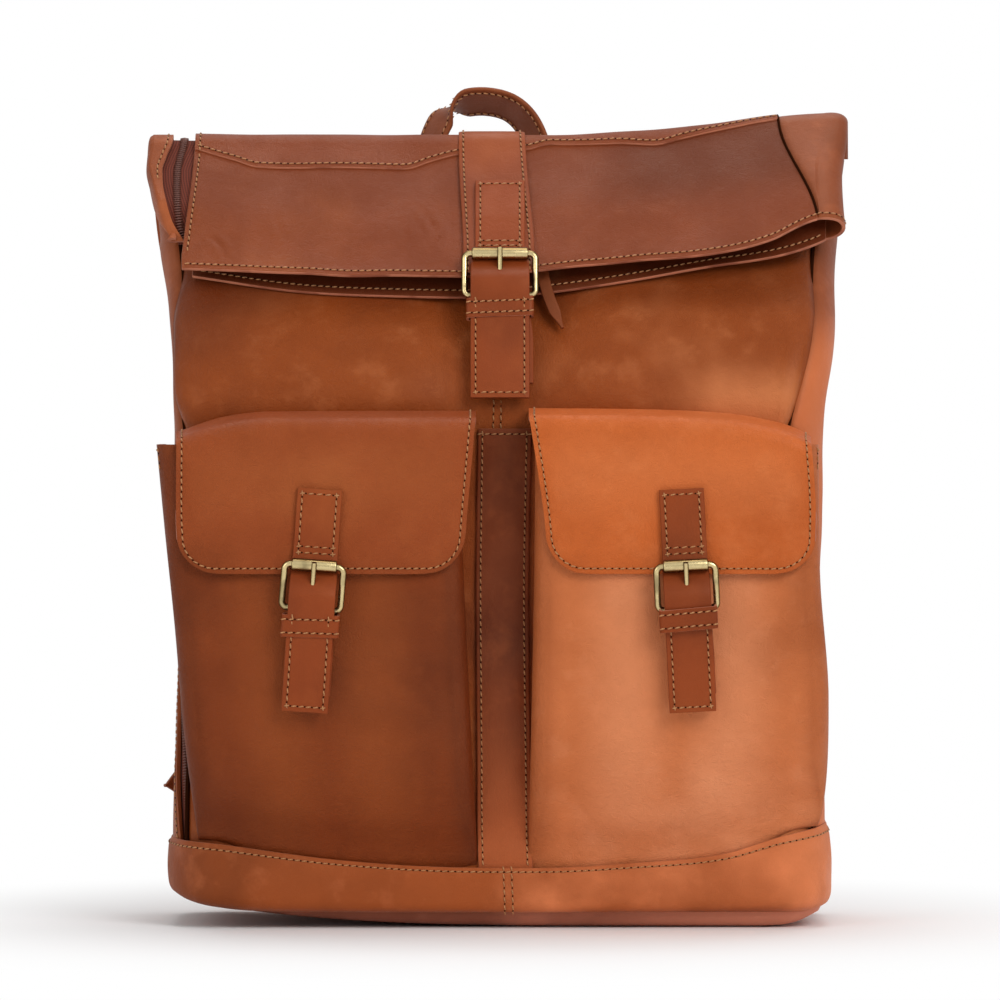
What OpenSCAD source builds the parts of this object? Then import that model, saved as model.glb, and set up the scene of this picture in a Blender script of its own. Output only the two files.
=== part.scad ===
// Roll-top leather backpack with two buckled front pockets.
// Millimetres, +Z up, the front faces -Y. The origin is on the ground, under the middle
// of the bag. A "layer" is a leather or cloth skin that keeps its distance from the form.

/* [Bag body] */
// Width across the two side gussets
body_w = 350; // [330:1:380]
// Depth of the main compartment, front to back
body_d = 124; // [110:1:140]
// Height of the line where the top folds forward
fold_z = 416; // [404:1:440]
// How far that fold line lies behind the middle of the bag
fold_y = 20; // [10:1:30]
// Radius of the upright corners
corner_r = 26; // [20:1:32]
// Radius of the rounded bottom edge
foot_r = 12; // [9:1:15]
// Height of the top edge of the base band
band_top = 42; // [34:1:48]
// Thickness of the body leather
leather = 2.2; // [1.6:0.1:2.6]
// Thickness of the cloth lining
lining_t = 0.8; // [0.5:0.1:1]

/* [Rolled top] */
// Width of the flattened mouth tube
roll_w = 376; // [360:1:400]
// Thickness of the tube where it folds
neck_d = 12; // [11:0.5:14]
// Length of the outer mouth panel, fold to rim
outer_len = 82; // [70:1:90]
// Length of the inner mouth panel, fold to rim
inner_len = 92; // [80:1:98]
// How much thicker the tube is at its open rim
mouth_flare = 6; // [3:0.5:9]
// Lean of the rolled-down tube from upright
roll_tilt = 37; // [35:0.5:40]
// Height that the rolled leather swells up beside the closing strap
roll_swell = 5; // [0:0.5:7]
// Height that the fold gains towards its right end
roll_rise = 9; // [0:0.5:12]

/* [Front pockets] */
// Height of the pocket mouths
pocket_top = 262; // [250:1:266]
// Depth of a pocket, front to back
pocket_d = 36; // [28:1:44]
// Distance of a pocket's inner side from the middle
pocket_in = 15; // [13:0.5:18]
// Distance of a pocket's outer side from the middle
pocket_out = 178.4; // [178:0.2:184]
// How much narrower a pocket is at its foot
pocket_taper = 14; // [4:1:20]
// Height of a pocket flap's lower edge
flap_edge = 192; // [182:1:205]
// Distance of a flap's inner edge from the middle
flap_in = 19.4; // [19.2:0.1:22]
// Distance of a flap's outer edge from the middle
flap_out = 175; // [165:1:180]
// Radius of a flap's lower corners
flap_r = 26; // [12:1:34]
// Thickness of the flap, two leathers sewn together
flap_t = 2.4; // [2:0.1:3]

/* [Buckled straps] */
// Width of the middle closing strap
main_w = 32; // [28:1:32]
// Sideways place of the middle strap
main_x = 0; // [-1:0.5:1]
// Distance of the middle strap's roller below the fold line
main_drop = 50; // [46:1:54]
// Width of the wide strap sewn over the rolled top
overlay_w = 40; // [36:1:46]
// Width of a pocket strap
pocket_w = 25; // [20:1:30]
// Distance of a pocket strap from the middle
pocket_x = 99; // [90:1:110]
// Height of a pocket strap's roller
pocket_z = 197; // [196:1:205]
// Sideways swing of the left strap's tail
left_swing = 5; // [0:0.5:6]
// Sideways swing of the right strap's tail
right_swing = -3; // [-6:0.5:0]
// Thickness of the strap leather
strap_t = 2.8; // [2.2:0.1:3]
// Length of the strap end below the roller
pocket_tail = 75; // [66:1:82]
// Length of the middle strap's end below its roller
main_tail = 84; // [76:1:88]
// Length of the sewn patch above the roller
patch_len = 40; // [30:1:44]

/* [Buckles and snaps] */
// Diameter of the buckle wire
wire_d = 3.5; // [3:0.1:4]
// Diameter of the roller
roller_d = 6; // [5.6:0.1:6.4]
// Distance from the roller to the buckle's lower bar
buckle_h = 23.5; // [22:0.5:26]
// Diameter of the tongue
tongue_d = 2.8; // [2.4:0.1:3]
// Thickness of the buckle end strap, folded double
chape_t = 3.2; // [2.6:0.1:3.6]
// Height of a keeper loop
keeper_h = 13; // [10:0.5:16]
// Thickness of the keeper leather
keeper_t = 1.6; // [1.2:0.1:2]
// Diameter of a magnetic snap
snap_d = 14; // [10:1:18]
// Thickness of the snap's stud on the bag
stud_t = 1.6; // [1.2:0.1:2]

/* [Handle and shoulder straps] */
// Width of the carry handle
handle_w = 24; // [18:1:28]
// Distance of a handle end from its middle
handle_reach = 31; // [26:1:34]
// Height of the handle above the fold line
handle_rise = 48; // [36:1:56]
// Width of a shoulder pad
pad_w = 56; // [44:1:60]
// Thickness of a shoulder pad
pad_t = 11; // [7:1:13]
// Width of the lower shoulder strap
web_w = 25; // [20:1:28]
// Thickness of the lower shoulder strap
web_t = 3; // [2.4:0.1:3.4]

/* [Zips] */
// Width of the gap in which a zip shows
zip_gap = 12; // [10:0.5:14]
// Width of the zip's two rows of coil
coil_w = 6; // [5:0.5:7]
// Height of the side zip's slider
side_slider_z = 230; // [180:1:240]
// Sideways place of the mouth zip's slider
mouth_slider_x = 28; // [26:1:40]

/* [Hidden] */

tan_leather = [0.60, 0.27, 0.12];
strap_leather = [0.55, 0.22, 0.10];
dark_leather = [0.40, 0.18, 0.11];
antique_brass = [0.62, 0.53, 0.33];
cloth = [0.35, 0.26, 0.19];
zip_brown = [0.27, 0.14, 0.10];

fit = 0.3;         // room between leather layers
seat = 0.2;        // room under a layer that is sewn down
run_fit = 0.08;    // radial room of a roller or tongue on its bar
round_fn = 32;

// ---------------------------------------------------------------- form of the bag

front_bend_lo = pocket_top + 8;     // below this the front stands upright
front_bend_hi = front_bend_lo + 60; // above this it leans back at one slope
back_bend_lo = 290;
back_bend_hi = 360;
front_slope = (fold_y + body_d / 2) / (fold_z - (front_bend_lo + front_bend_hi) / 2);
back_slope = (body_d / 2 - fold_y - neck_d) / (fold_z - (back_bend_lo + back_bend_hi) / 2);

function mix(a, b, t) = a + (b - a) * t;
function clamp01(t) = max(0, min(1, t));
function smooth(t) = let (c = clamp01(t)) c * c * (3 - 2 * c);

// How far a wall has leaned over at height z, when it bends between lo and hi
function lean(z, lo, hi, slope) =
    z <= lo ? 0 :
    z >= hi ? slope * (z - (lo + hi) / 2) :
    slope * (z - lo) * (z - lo) / (2 * (hi - lo));

function front_y(z) = -body_d / 2 + lean(z, front_bend_lo, front_bend_hi, front_slope);
function back_y(z) = body_d / 2 - lean(z, back_bend_lo, back_bend_hi, back_slope);
function half_w(z) =
    mix(body_w / 2, roll_w / 2, smooth((z - front_bend_lo) / (fold_z - front_bend_lo)));
function corner_at(z) = min(corner_r, (back_y(z) - front_y(z)) / 2 - 0.6);

// A rounded rectangle walked anticlockwise from the front left. u runs from 0 to 8:
// front, corner, right side, corner, back, corner, left side, corner.
function ring(u, a, y0, y1, r) =
    let (
        w = u < 0 ? u + 8 : u >= 8 ? u - 8 : u,
        k = floor(w),
        t = w - k,
        arc = 90 * t,
        ax = a - r,
        yf = y0 + r,
        yb = y1 - r
    )
    k == 0 ? [mix(-ax, ax, t), y0] :
    k == 1 ? [ax + r * sin(arc), yf - r * cos(arc)] :
    k == 2 ? [a, mix(yf, yb, t)] :
    k == 3 ? [ax + r * cos(arc), yb + r * sin(arc)] :
    k == 4 ? [mix(ax, -ax, t), y1] :
    k == 5 ? [-ax - r * sin(arc), yb + r * cos(arc)] :
    k == 6 ? [-a, mix(yb, yf, t)] :
             [-ax - r * cos(arc), yf - r * sin(arc)];

// A point of the bag's skin, off millimetres outside it
function skin(u, z, off) =
    let (p = ring(u, half_w(z) + off, front_y(z) - off, back_y(z) + off, corner_at(z) + off))
    [p[0], p[1], z];

// The u of a point s millimetres forward of the middle of the left side
function left_u(s, z) =
    let (
        r = corner_at(z),
        h = (back_y(z) - front_y(z)) / 2 - r,
        arc = r * PI / 2
    )
    s > h ? 7 + (s - h) / arc :
    s < -h ? 6 + (s + h) / arc :
    6.5 + s / (2 * h);

// The y of the bag's front skin at a distance x from the middle
function skin_y(x, z) =
    let (r = corner_at(z), past = max(0, abs(x) - (half_w(z) - r)))
    past >= r ? front_y(z) + r : front_y(z) + r - sqrt(r * r - past * past);

body_levels = [
    foot_r + 2, band_top, 110, 190, front_bend_lo, mix(front_bend_lo, front_bend_hi, 0.33),
    mix(front_bend_lo, front_bend_hi, 0.67), front_bend_hi, mix(front_bend_hi, fold_z, 0.25),
    mix(front_bend_hi, fold_z, 0.5), fold_z - 22, fold_z - 11, fold_z - fit
];
lining_levels = [for (z = body_levels) if (z < fold_z - 20) z];
front_columns = [7.5, 7.75, 8, 8.25, 8.5, 8.75, 9, 9.25, 9.5];
right_columns = [1.5, 1.75, 2, 2.5, 3, 3.25, 3.5];
back_columns = [3.5, 3.75, 4, 4.5, 5, 5.25, 5.5];
round_columns = [for (k = [0:7]) for (t = [0, 0.25, 0.5, 0.75]) k + t];

// ---------------------------------------------------------------- solids from grids

function flat(rows) = [for (row = rows) for (p = row) p];

// A closed solid between two grids of points. Seen from outside, columns run to the
// right and rows run up. A closed grid joins its last column to its first.
module shell_between(outer, inner, closed = false) {
    rows = len(outer);
    cols = len(outer[0]);
    last = closed ? cols - 1 : cols - 2;
    back = rows * cols;
    function at(i, j) = i * cols + (j % cols);
    faces = concat(
        [for (i = [0:rows - 2]) for (j = [0:last])
            each [[at(i, j), at(i + 1, j), at(i + 1, j + 1)],
                  [at(i, j), at(i + 1, j + 1), at(i, j + 1)]]],
        [for (i = [0:rows - 2]) for (j = [0:last])
            each [[back + at(i, j), back + at(i + 1, j + 1), back + at(i + 1, j)],
                  [back + at(i, j), back + at(i, j + 1), back + at(i + 1, j + 1)]]],
        [for (j = [0:last])
            each [[at(0, j), at(0, j + 1), back + at(0, j + 1)],
                  [at(0, j), back + at(0, j + 1), back + at(0, j)]]],
        [for (j = [0:last])
            let (i = rows - 1)
            each [[at(i, j + 1), at(i, j), back + at(i, j)],
                  [at(i, j + 1), back + at(i, j), back + at(i, j + 1)]]],
        closed ? [] : [for (i = [0:rows - 2])
            each [[at(i + 1, 0), at(i, 0), back + at(i, 0)],
                  [at(i + 1, 0), back + at(i, 0), back + at(i + 1, 0)]]],
        closed ? [] : [for (i = [0:rows - 2])
            let (j = cols - 1)
            each [[at(i, j), at(i + 1, j), back + at(i + 1, j)],
                  [at(i, j), back + at(i + 1, j), back + at(i, j)]]]
    );
    polyhedron(points = concat(flat(outer), flat(inner)), faces = faces, convexity = 6);
}

// A layer of the bag's skin between two distances from the form
module skin_layer(columns, levels, from, to, closed = false) {
    shell_between(
        [for (z = levels) [for (u = columns) skin(u, z, to)]],
        [for (z = levels) [for (u = columns) skin(u, z, from)]],
        closed
    );
}

// Draws a side profile, given in [y, z], as a solid of width w about x = 0
module across(w) {
    rotate([90, 0, 90]) linear_extrude(height = w, center = true) children();
}

// The outline of a strip of thickness t along a path
function strip(path, t) =
    let (
        n = len(path),
        side = [for (i = [0:n - 1])
            let (d = path[min(i + 1, n - 1)] - path[max(i - 1, 0)])
            [-d[1], d[0]] / norm(d)]
    )
    concat(
        [for (i = [0:n - 1]) path[i] + side[i] * t / 2],
        [for (i = [n - 1:-1:0]) path[i] - side[i] * t / 2]
    );

module rod(d, length) {
    rotate([0, 90, 0]) cylinder(d = d, h = length, center = true, $fn = round_fn);
}

// ---------------------------------------------------------------- main compartment

module front_panel() {
    color(tan_leather) skin_layer(front_columns, body_levels, -leather, 0);
}

module right_gusset() {
    color(tan_leather) skin_layer(right_columns, body_levels, -leather, 0);
}

module back_panel() {
    color(tan_leather) skin_layer(back_columns, body_levels, -leather, 0);
}

// The side zip climbs the left gusset, from the front corner to behind the middle
zip_foot_s = 46;
zip_rate = 0.15;
zip_stop = 44; // distance of the zip's end below the fold line
zip_end = fold_z - zip_stop;
function zip_s(z) =
    z < front_bend_lo ? zip_foot_s - zip_rate * (z - band_top) :
    (zip_foot_s - zip_rate * (front_bend_lo - band_top))
        * clamp01((fold_z - 16 - z) / (fold_z - 16 - front_bend_lo));

// Half of the gap in the gusset, which closes above the zip's end
function zip_half(z) = mix(zip_gap / 2, fit, smooth((z - zip_end + 42) / 42));

// One part of the left gusset, from u = from(z) to u = to(z), keeping its corners round
function gusset_row(z, from, to, off) =
    [for (t = [0:5]) skin(mix(from, to, t / 5), z, off)];

module left_gusset_front() {
    color(tan_leather) shell_between(
        [for (z = body_levels) gusset_row(z, left_u(zip_s(z) + zip_half(z), z), 7.5, 0)],
        [for (z = body_levels) gusset_row(z, left_u(zip_s(z) + zip_half(z), z), 7.5, -leather)]
    );
}

module left_gusset_back() {
    color(tan_leather) shell_between(
        [for (z = body_levels) gusset_row(z, 5.5, left_u(zip_s(z) - zip_half(z), z), 0)],
        [for (z = body_levels) gusset_row(z, 5.5, left_u(zip_s(z) - zip_half(z), z), -leather)]
    );
}

// Tape behind the gap in the gusset, with the coil standing in the gap
tape_t = 0.6;
tape_w = 24;
coil_t = 1.4;
coil_back = 0.3; // keeps the coil's curved face clear of the tape's
tape_room = 2; // keeps the tape's flats, and the coil on it, off the gusset
tape_back = leather + tape_room + tape_t;
coil_off = -tape_back + tape_t + coil_back;

module zip_band(levels, half, from, to) {
    shell_between(
        [for (z = levels) [for (k = [-1:0.5:1]) skin(left_u(zip_s(z) + k * half, z), z, to)]],
        [for (z = levels) [for (k = [-1:0.5:1]) skin(left_u(zip_s(z) + k * half, z), z, from)]]
    );
}

zip_levels = [for (z = body_levels) if (z >= band_top && z < zip_end + 4) z];

module side_zip() {
    color(zip_brown) {
        zip_band(zip_levels, tape_w / 2, -tape_back, -tape_back + tape_t);
        zip_band(zip_levels, coil_w / 2, coil_off, coil_off + coil_t);
    }
}

// Rounded tray under the bag, up to the lower edge of the band
band_gap = 0.6; // keeps the band's flats off the round corners
skirt = band_gap + leather;
module foot_arc() {
    intersection() {
        difference() {
            circle(r = foot_r, $fn = 64);
            circle(r = foot_r - leather, $fn = 64);
        }
        translate([0, -foot_r]) square(foot_r);
    }
}

module rounded_plate(w, d, r) {
    square([w - 2 * r, d], center = true);
    square([w, d - 2 * r], center = true);
    for (x = [-1, 1]) for (y = [-1, 1])
        translate([x * (w / 2 - r), y * (d / 2 - r)]) circle(r = r, $fn = 64);
}

module bottom_panel() {
    w = body_w + 2 * skirt;
    d = body_d + 2 * skirt;
    r = corner_r + skirt;
    color(dark_leather) {
        linear_extrude(leather) rounded_plate(w - 2 * foot_r, d - 2 * foot_r, r - foot_r);
        for (side = [0, 180]) rotate([0, 0, side]) {
            translate([w / 2 - foot_r, 0, foot_r]) rotate([90, 0, 0])
                linear_extrude(d - 2 * r, center = true) foot_arc();
            translate([0, d / 2 - foot_r, foot_r]) rotate([90, 0, 90])
                linear_extrude(w - 2 * r, center = true) foot_arc();
        }
        for (x = [0, 1]) for (y = [0, 1]) mirror([x, 0, 0]) mirror([0, y, 0])
            translate([w / 2 - r, d / 2 - r, foot_r])
                rotate_extrude(angle = 90, $fn = 64) translate([r - foot_r, 0]) foot_arc();
    }
}

// A solid skinned over closed rings from the bottom up, with flat ends
module rings_solid(rings) {
    n = len(rings[0]);
    m = len(rings);
    polyhedron(
        points = flat(rings),
        faces = concat(
            [[for (j = [0:n - 1]) j]],
            [[for (j = [n - 1:-1:0]) (m - 1) * n + j]],
            [for (i = [0:m - 2]) for (j = [0:n - 1])
                each [[i * n + j, (i + 1) * n + j, (i + 1) * n + (j + 1) % n],
                      [i * n + j, (i + 1) * n + (j + 1) % n, i * n + (j + 1) % n]]]
        ),
        convexity = 6
    );
}

module base_band() {
    color(tan_leather)
        skin_layer(round_columns, [foot_r + fit, foot_r + 4, band_top], band_gap, skirt, true);
}

// Fibre board that keeps the base flat
board_t = 2.5;
board_inset = 14;
module bottom_board() {
    w = body_w - 2 * board_inset;
    d = body_d - 2 * board_inset;
    r = corner_r - 8;
    color(cloth) translate([0, 0, leather + fit]) linear_extrude(board_t) rounded_plate(w, d, r);
}

// Cloth bag inside the leather, open at the top
lining_off = tape_back + 3 * fit;
module main_lining() {
    floor_z = leather + board_t + 2 * fit;
    color(cloth) {
        difference() {
            rings_solid([for (z = concat([floor_z], lining_levels))
                [for (u = round_columns) skin(u, z, -lining_off)]]);
            rings_solid([for (z = concat([floor_z + lining_t], lining_levels, [fold_z]))
                [for (u = round_columns) skin(u, z, -lining_off - lining_t)]]);
        }
    }
}

// Strip between the pockets
placket_w = 28;
module front_placket() {
    color(dark_leather)
        translate([-placket_w / 2, front_y(0) - seat - leather, band_top + fit])
            cube([placket_w, leather, front_bend_lo - band_top - fit]);
}

// Leather patch on the back that carries the handle and the shoulder straps
yoke_w = 150;
yoke_lo = 358;
yoke_hi = 404;
module back_yoke() {
    color(tan_leather) across(yoke_w) polygon([
        for (z = [yoke_lo, yoke_hi]) [back_y(z) + seat, z],
        for (z = [yoke_hi, yoke_lo]) [back_y(z) + seat + leather, z]
    ]);
}

// ---------------------------------------------------------------- front pockets

pocket_foot = band_top + fit;
function pocket_rise(z) = clamp01((z - pocket_foot) / (pocket_z - pocket_foot));
function pocket_depth(z) = 2.8 + (pocket_d - 2.8) * (1 - pow(1 - pocket_rise(z), 2.2));
function pocket_side(z) = pocket_out - pocket_taper * (1 - smooth((z - pocket_foot) / 110));

// The pocket's plan at height z, off millimetres inside its outer face, walked from the
// back of its outer side, round the front, to the back of its inner side
function pocket_plan(z, off) =
    let (
        y0 = front_y(0),
        front = y0 - pocket_depth(z) + off,
        outer = pocket_side(z) - off,
        inner = pocket_in + off,
        r = max(0.5, min(12, pocket_depth(z) - 0.6) - off),
        start = min(skin_y(pocket_side(z) - leather, z) - fit, y0 + corner_r - 4)
    )
    concat(
        [[outer, start], [outer, mix(start, front + r, 0.5)]],
        [for (t = [0:30:90]) [outer - r + r * cos(t), front + r - r * sin(t)]],
        [for (t = [1:5]) [mix(outer - r, inner + r, t / 6), front]],
        [for (t = [90:30:180]) [inner + r + r * cos(t), front + r - r * sin(t)]],
        [[inner, mix(front + r, y0 - fit, 0.5)], [inner, y0 - fit]]
    );

pocket_levels = [pocket_foot, 56, 72, 92, 118, 150, pocket_z, pocket_top];

// Drawn for the right side; the left pocket is its mirror image
module pocket() {
    function row(z, off) =
        let (plan = pocket_plan(z, off), n = len(plan))
        [for (i = [n - 1:-1:0]) [plan[i][0], plan[i][1], z]];
    color(tan_leather) shell_between(
        [for (z = pocket_levels) row(z, 0)],
        [for (z = pocket_levels) row(z, leather)]
    );
}

// Flap: sewn to the front panel above the pocket, over the mouth and down the face
flap_hinge_z = front_bend_lo + 1;
flap_face = front_y(0) - pocket_d - fit - flap_t / 2;
flap_back = front_y(0) - seat - flap_t / 2;
flap_bend = 12;
module flap() {
    path = concat(
        [[flap_back, flap_hinge_z], [mix(flap_back, flap_face, 0.35), flap_hinge_z + 2.5]],
        [for (t = [0:15:90]) [
            flap_face + flap_bend * (1 - sin(t)) ,
            flap_hinge_z + 3 - flap_bend + flap_bend * cos(t)]],
        [[flap_face, mix(flap_hinge_z, flap_edge, 0.5)], [flap_face, flap_edge]]
    );
    w = flap_out - flap_in;
    color(tan_leather) translate([(flap_in + flap_out) / 2, 0, 0]) intersection() {
        across(w) polygon(strip(path, flap_t));
        rotate([90, 0, 0]) linear_extrude(height = 400, center = true) {
            translate([-w / 2, flap_edge + flap_r]) square([w, 200]);
            translate([-w / 2 + flap_r, flap_edge]) square([w - 2 * flap_r, 200]);
            for (x = [-1, 1]) translate([x * (w / 2 - flap_r), flap_edge + flap_r])
                circle(r = flap_r, $fn = 48);
        }
    }
}

// ---------------------------------------------------------------- buckled straps

// A buckle set is drawn about its roller: X along the roller, tail down -Z, front to -Y.
wire_r = wire_d / 2;
roller_r = roller_d / 2;
bar_z = -buckle_h;
bar_wrap = wire_r + run_fit + chape_t / 2;
side_room = 1.5;
frame_bend = 3.2;
function frame_x(w) = w / 2 + side_room + wire_r;
tongue_angle = asin((roller_r + tongue_d / 2 + fit) / buckle_h);
under_y = roller_r + fit + strap_t / 2;
over_y = -(bar_wrap + fit + strap_t / 2);
lay_y = -(chape_t / 2 + fit + strap_t / 2);

module buckle_frame(w) {
    x = frame_x(w);
    r = frame_bend;
    color(antique_brass) {
        for (z = [0, bar_z]) translate([0, 0, z]) rod(wire_d, 2 * (x - r));
        for (s = [-1, 1]) {
            translate([s * x, 0, bar_z + r]) cylinder(d = wire_d, h = buckle_h - 2 * r, $fn = round_fn);
            translate([s * (x - r), 0, -r]) rotate([90, 0, 0]) rotate([0, 0, s > 0 ? 0 : 90])
                rotate_extrude(angle = 90, $fn = round_fn) translate([r, 0]) circle(d = wire_d, $fn = round_fn);
            translate([s * (x - r), 0, bar_z + r]) rotate([90, 0, 0]) rotate([0, 0, s > 0 ? -90 : 180])
                rotate_extrude(angle = 90, $fn = round_fn) translate([r, 0]) circle(d = wire_d, $fn = round_fn);
        }
    }
}

module buckle_roller(w) {
    color(antique_brass) difference() {
        rod(roller_d, 2 * (frame_x(w) - frame_bend) - 2 * fit);
        rod(wire_d + 2 * run_fit, w * 2);
    }
}

tongue_w = 3.6;
tongue_over = 2.5;
module buckle_tongue() {
    ring_d = wire_d + 2 * run_fit + 2.4;
    color(antique_brass) difference() {
        union() {
            translate([0, 0, bar_z]) rod(ring_d, tongue_w);
            translate([0, 0, bar_z]) rotate([tongue_angle, 0, 0]) translate([0, 0, wire_r + 0.3])
                cylinder(d = tongue_d, h = buckle_h + tongue_over - wire_r, $fn = round_fn);
        }
        translate([0, 0, bar_z]) rod(wire_d + 2 * run_fit, 3 * tongue_w);
    }
}

// Strap end: under the roller, up over the tongue and the lower bar, then flat to its end
function billet_path(tail) = [
    [under_y, -0.4], [under_y - 1, -4], [-1.6, -9.5], [over_y - 0.5, -14.5],
    [over_y - 0.7, -19], [over_y - 0.2, bar_z - 0.5], [mix(over_y, lay_y, 0.55), bar_z - 7],
    [lay_y, bar_z - 14], [lay_y, -tail]
];

module billet(w, tail) {
    color(strap_leather) difference() {
        across(w) polygon(strip(billet_path(tail), strap_t));
        translate([0, -1.6, -9.8]) rotate([50, 0, 0]) translate([0, 0, -6]) {
            for (z = [-3.4, 3.4]) translate([0, z, 0])
                cylinder(d = tongue_d + 1.2, h = 12, $fn = round_fn);
            translate([-tongue_d / 2 - 0.6, -3.4, 0]) cube([tongue_d + 1.2, 6.8, 12]);
        }
    }
}

// Strap that holds the buckle, folded round its lower bar and ending in a magnetic snap
snap_t = 2.4;
snap_drop = 30;
function chape_end(tail) = -tail + 9;

module buckle_strap(w, tail) {
    notch = tongue_w + 2 * fit;
    color(strap_leather) difference() {
        union() {
            translate([0, 0, bar_z]) rod(2 * bar_wrap, w);
            translate([-w / 2, -chape_t / 2, chape_end(tail)])
                cube([w, chape_t, bar_z - chape_end(tail)]);
            translate([0, chape_t / 2 + snap_t / 2, bar_z - snap_drop]) rotate([90, 0, 0])
                cylinder(d = snap_d, h = snap_t + 0.4, center = true, $fn = round_fn);
        }
        translate([0, 0, bar_z]) rod(wire_d + 2 * run_fit, 2 * w);
        translate([-notch / 2, -bar_wrap - 1, bar_z - bar_wrap])
            cube([notch, 2 * bar_wrap + 2, 2 * bar_wrap + 1]);
    }
}

keeper_z = bar_z - bar_wrap - keeper_h - 0.4;
module keeper(w) {
    back = chape_t / 2 + fit;
    front = over_y - strap_t / 2 - fit;
    inner = w / 2 + fit;
    color(strap_leather) difference() {
        translate([-inner - keeper_t, front - keeper_t, keeper_z])
            cube([2 * (inner + keeper_t), back - front + 2 * keeper_t, keeper_h]);
        translate([-inner, front, keeper_z - 1]) cube([2 * inner, back - front, keeper_h + 2]);
    }
}

// A strap leans so that its snap just meets its stud on the skin behind
stud_gap = chape_t / 2 + snap_t + fit;
stud_room = stud_gap + stud_t + seat + fit;
stud_reach = buckle_h + snap_drop;

// Places a set on the bag: its roller's centre, its lean and its sideways swing
module place_main() {
    translate([main_x, main_y, main_z]) rotate([-main_lean, 0, 0]) children();
}

module place_pocket(side) {
    swing = side < 0 ? left_swing : right_swing;
    translate([side * pocket_x, pocket_strap_y, pocket_z])
        rotate([pocket_lean, swing, 0]) children();
}

// The roller's axis lies in front of the flap by the patch that passes behind it
patch_y = flap_face - flap_t / 2 - seat - strap_t / 2;
pocket_strap_y = patch_y - under_y;
pocket_lean = asin((front_y(0) - pocket_depth(pocket_z - stud_reach) - stud_room - pocket_strap_y) / stud_reach);

// Room between the patch and the swung top of the strap below it
patch_gap = fit + pocket_w / 2 * sin(max(left_swing, -right_swing)) + 0.4;
module pocket_patch(side) {
    top = pocket_z + patch_len;
    color(strap_leather) translate([side * pocket_x - pocket_w / 2, patch_y - strap_t / 2, pocket_z + patch_gap])
        cube([pocket_w, strap_t, top - pocket_z - patch_gap]);
}

// ---------------------------------------------------------------- rolled top

// The mouth tube is drawn upright on the fold line, then folded forward over the front.
fold_angle = 180 - roll_tilt;
module rolled() {
    translate([0, fold_y, fold_z]) rotate([fold_angle, 0, 0]) children();
}

function tube_d(v) = neck_d + mouth_flare * pow(clamp01(v / inner_len), 1.5);
function rim_v(u) = u <= 1 || u >= 8 ? inner_len : u >= 4 && u <= 5 ? outer_len :
    u < 4 ? mix(inner_len, outer_len, (u - 1) / 3) : mix(outer_len, inner_len, (u - 5) / 3);
// The rolled leather stands higher beside the strap, and most at the right end
strap_clear = overlay_w / 2 + 6; // flat under the closing strap
function rise(x) = roll_swell * smooth((abs(x - main_x) - strap_clear) / 40)
    + roll_rise * pow(clamp01((x - main_x - strap_clear) / (roll_w / 2 - strap_clear)), 1.5);
function rise_share(u) = u <= 2 ? 0 : u < 4 ? (u - 2) / 2 : u <= 5 ? 1 : u < 7 ? (7 - u) / 2 : 0;
function tube(u, t, off) =
    let (
        v = fit + t * (rim_v(u) - fit),
        d = tube_d(v),
        p = ring(u, roll_w / 2 + off, -off, d + off, d / 2 - 0.6 + off)
    )
    [p[0], p[1] + sin(fold_angle) * rise(p[0]) * rise_share(u), v];

seam_in = 16;
seam_x = roll_w / 2 - seam_in;
roll_zip_w = 7;
function tube_u_front(x) = let (ax = roll_w / 2 - neck_d / 2 + 0.6) (x + ax) / (2 * ax);
function tube_u_back(x) = let (ax = roll_w / 2 - neck_d / 2 + 0.6) 4 + (ax - x) / (2 * ax);
tube_steps = [0, 0.25, 0.5, 0.75, 1];

module tube_panel(columns, from = -leather, to = 0) {
    rolled() shell_between(
        [for (t = tube_steps) [for (u = columns) tube(u, t, to)]],
        [for (t = tube_steps) [for (u = columns) tube(u, t, from)]]
    );
}

module roll_outer_panel() {
    color(tan_leather)
        tube_panel(concat(
            [for (k = [0:5]) tube_u_back(mix(seam_x, main_x + strap_clear, k / 5))],
            [for (k = [0:5]) tube_u_back(mix(main_x - strap_clear, -seam_x, k / 5))]
        ));
}

module roll_inner_panel() {
    color(tan_leather)
        tube_panel([for (k = [0:6]) mix(tube_u_front(-seam_x), tube_u_front(seam_x), k / 6)]);
}

module roll_right_gusset() {
    color(tan_leather)
        tube_panel([tube_u_front(seam_x), 1, 1.33, 1.67, 2, 2.5, 3, 3.33, 3.67, 4, tube_u_back(seam_x)]);
}

module roll_left_gusset() {
    color(tan_leather)
        tube_panel([tube_u_back(-seam_x - roll_zip_w), 5, 5.33, 5.67, 6, 6.5, 7, 7.33, 7.67, 8,
                    8 + tube_u_front(-seam_x)]);
}

module roll_side_zip() {
    color(zip_brown)
        tube_panel([tube_u_back(-seam_x), tube_u_back(-seam_x - roll_zip_w)], -leather + 0.6, -0.6);
}

// Leather that bends over the fold line, from the back of the bag to the front of the
// rolled tube, with the closing strap over it. It changes shape as the top unrolls.
module fold_bend() {
    turns = [for (k = [0:8]) mix(1, fold_angle - 1, k / 8)];
    function bend(x, a, r, up) =
        [x, fold_y + (r + up * sin(a)) * cos(a), fold_z + (r + up * sin(a)) * sin(a)];
    module arch(columns, r0, r1, up) {
        shell_between(
            [for (a = turns) [for (x = columns) bend(x, a, r1, up * rise(x))]],
            [for (a = turns) [for (x = columns) bend(x, a, r0, up * rise(x))]]
        );
    }
    half = (roll_w - neck_d) / 2;
    color(tan_leather) arch([for (k = [0:14]) mix(half, -half, k / 14)], neck_d - leather, neck_d, 1);
    color(tan_leather) translate([main_x, 0, 0])
        arch([overlay_w / 2, -overlay_w / 2], neck_d + seat, neck_d + seat + leather, 0);
}

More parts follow.
